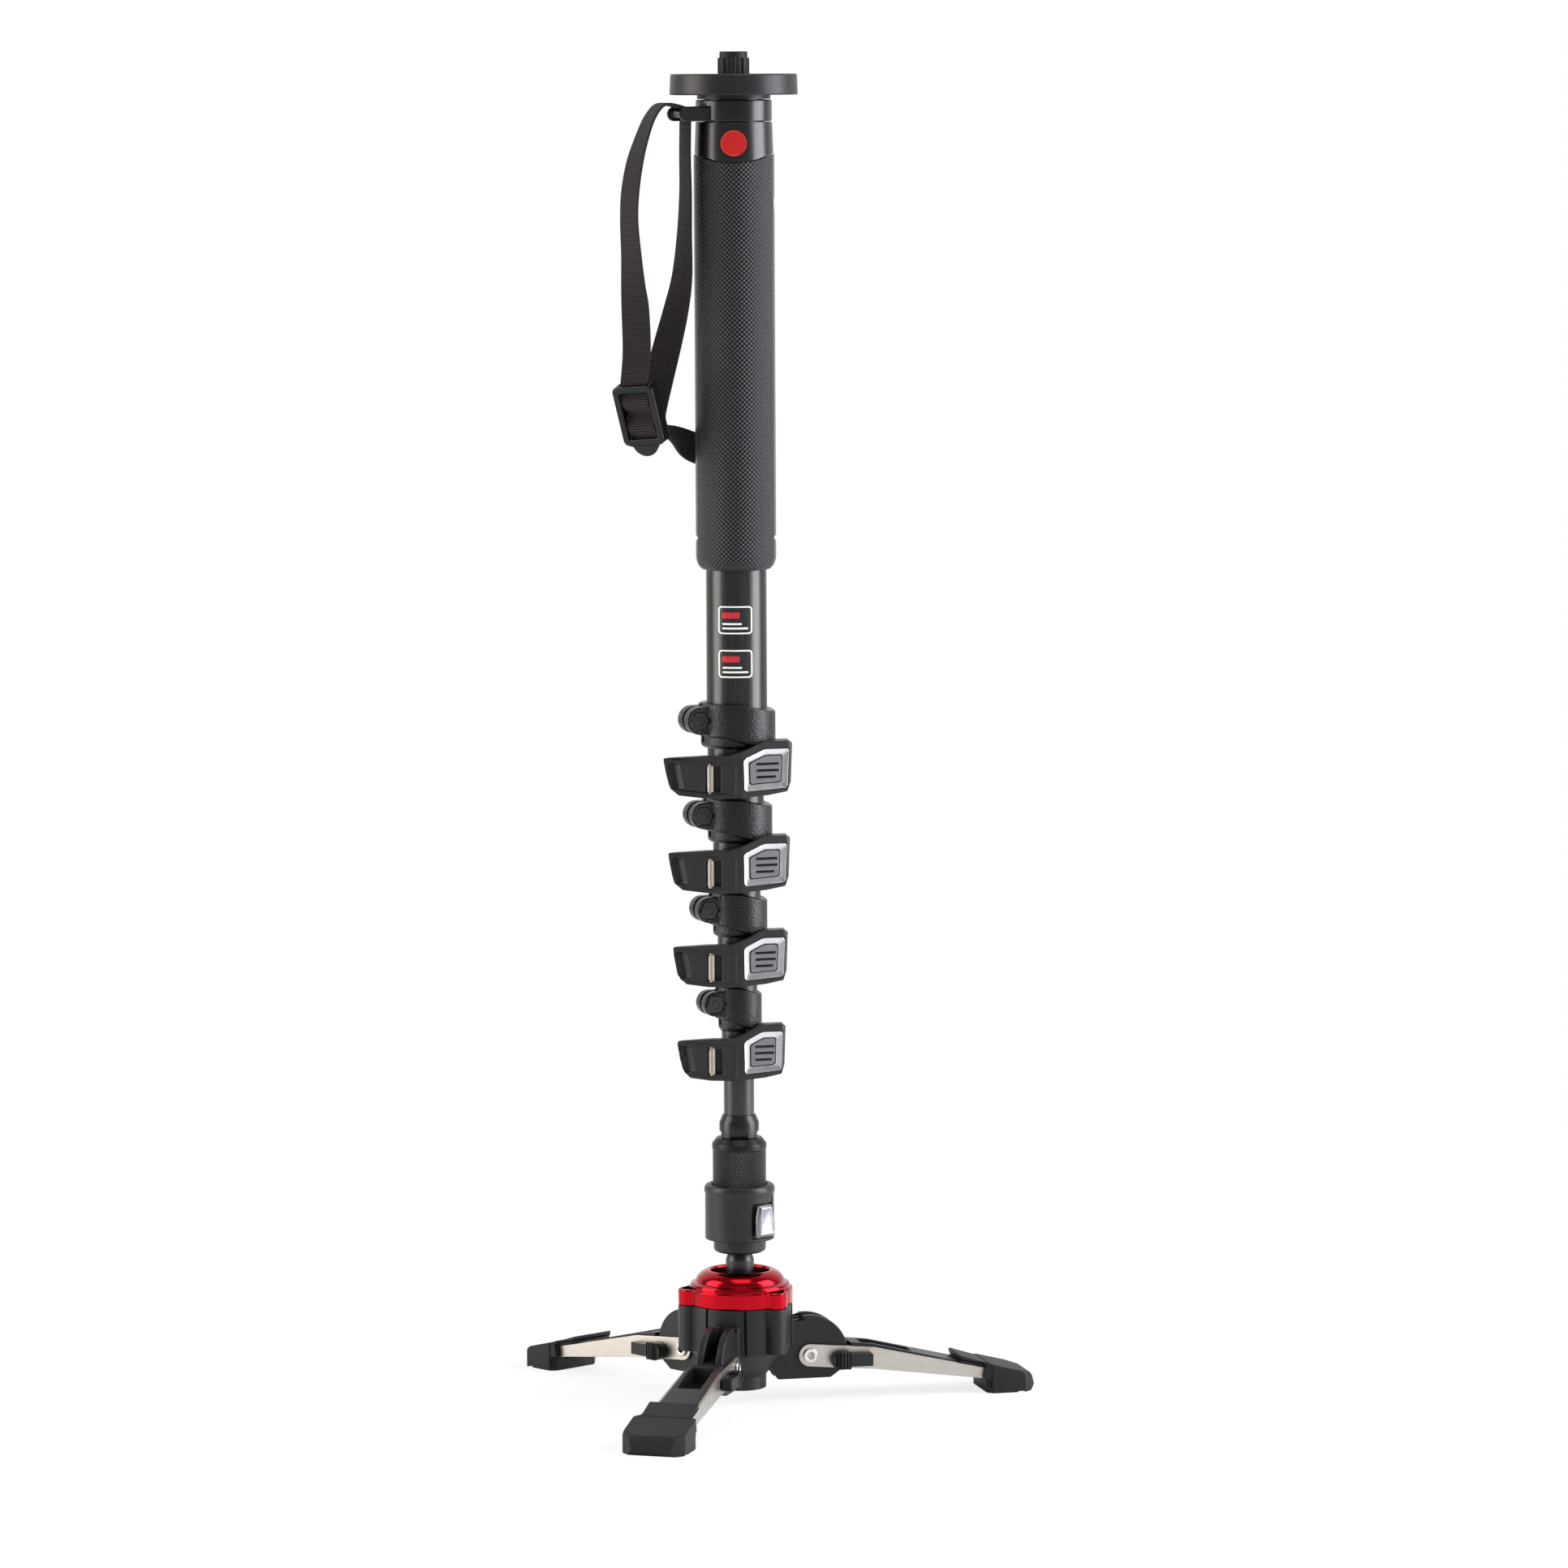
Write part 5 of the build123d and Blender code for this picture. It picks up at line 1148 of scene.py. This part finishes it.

# %% [markdown]
# The ribbon is a grid with one row at each station of the path. It hangs from the strap ring and moves
# with it, and its map in millimetres holds its flat size: its width, and the length travelled.

# %% Lay the ribbon
COLUMNS = 6
webbing = added("webbing_strap", bpy.ops.mesh.primitive_grid_add, x_subdivisions=COLUMNS,
                y_subdivisions=len(stations) - 1, size=MM, location=(0, 0, 0))
travelled = 0
across_map, along_map = [], []
for i, (place, width) in enumerate(stations):
    before, after = stations[max(i - 1, 0)][0], stations[min(i + 1, len(stations) - 1)][0]
    travelled += (place - stations[max(i - 1, 0)][0]).length
    along = (after - before).normalized()
    across = (width - along * width.dot(along)).normalized()
    for column in range(COLUMNS + 1):
        offset = (column / COLUMNS - 0.5) * STRAP_WIDTH
        webbing.data.vertices[i * (COLUMNS + 1) + column].co = (place + across * offset) * MM
        across_map.append(offset)
        along_map.append(travelled)
uv = webbing.data.uv_layers[0]
uv.name = "webbing_mm"
for loop in webbing.data.loops:
    uv.data[loop.index].uv = (across_map[loop.vertex_index], along_map[loop.vertex_index])
modify(webbing, "SOLIDIFY", thickness=STRAP_THICK * MM, offset=0.0)
soften(webbing, 0.35, 2, 60)
fit(webbing, webbing_nylon, "strap_swivel", "webbing", "wrist_strap")
print("strap", round(travelled), "mm long")

# %% [markdown]
# The sliding buckle is one moulding: a plate with a tongue, a window and a bar across the
# window. It is drawn flat, hollowed where the webbing runs, and set down on the path.

# %% Buckle
RAIL, HALF = 11.4, 15.5
WINDOW, WINDOW_HALF = 8.0, 12.1


def rectangle(aside, up):
    """The corners of a rectangle by its half sizes."""
    return (-aside, -up), (-aside, up), (aside, up), (aside, -up)


buckle = slab("sliding_buckle", rectangle(RAIL, HALF), -4.0, 3.4, 3.0)
cut(buckle, rod("tongue", (0, -14.2, 2.0), 7.2, 2.0, sides=64), "UNION")
cut(buckle, slab("window", rectangle(WINDOW, WINDOW_HALF), -5.0, 5.0, 0.9))
cut(buckle, block("strap_way", (0, 0, -2.1), (2 * WINDOW, 40, 6.2)))
cut(buckle, block("middle_bar", (0, 0, -2.9), (2 * WINDOW + 1.0, 3.4, 1.8)), "UNION")
soften(buckle, 0.75, 4, 30)
set_down(buckle, placement(to_right, rail_up, forward, buckle_middle))
fit(buckle, gloss_plastic, "strap_swivel", "black_plastic", "strap_buckle")

# %% Measure and finish
for obj in bpy.data.objects:
    if obj.type == "MESH" and obj.name != "floor":
        if min((obj.matrix_world @ v.co).z for v in obj.data.vertices) < -0.01 * MM:
            print("below the floor:", obj.name)
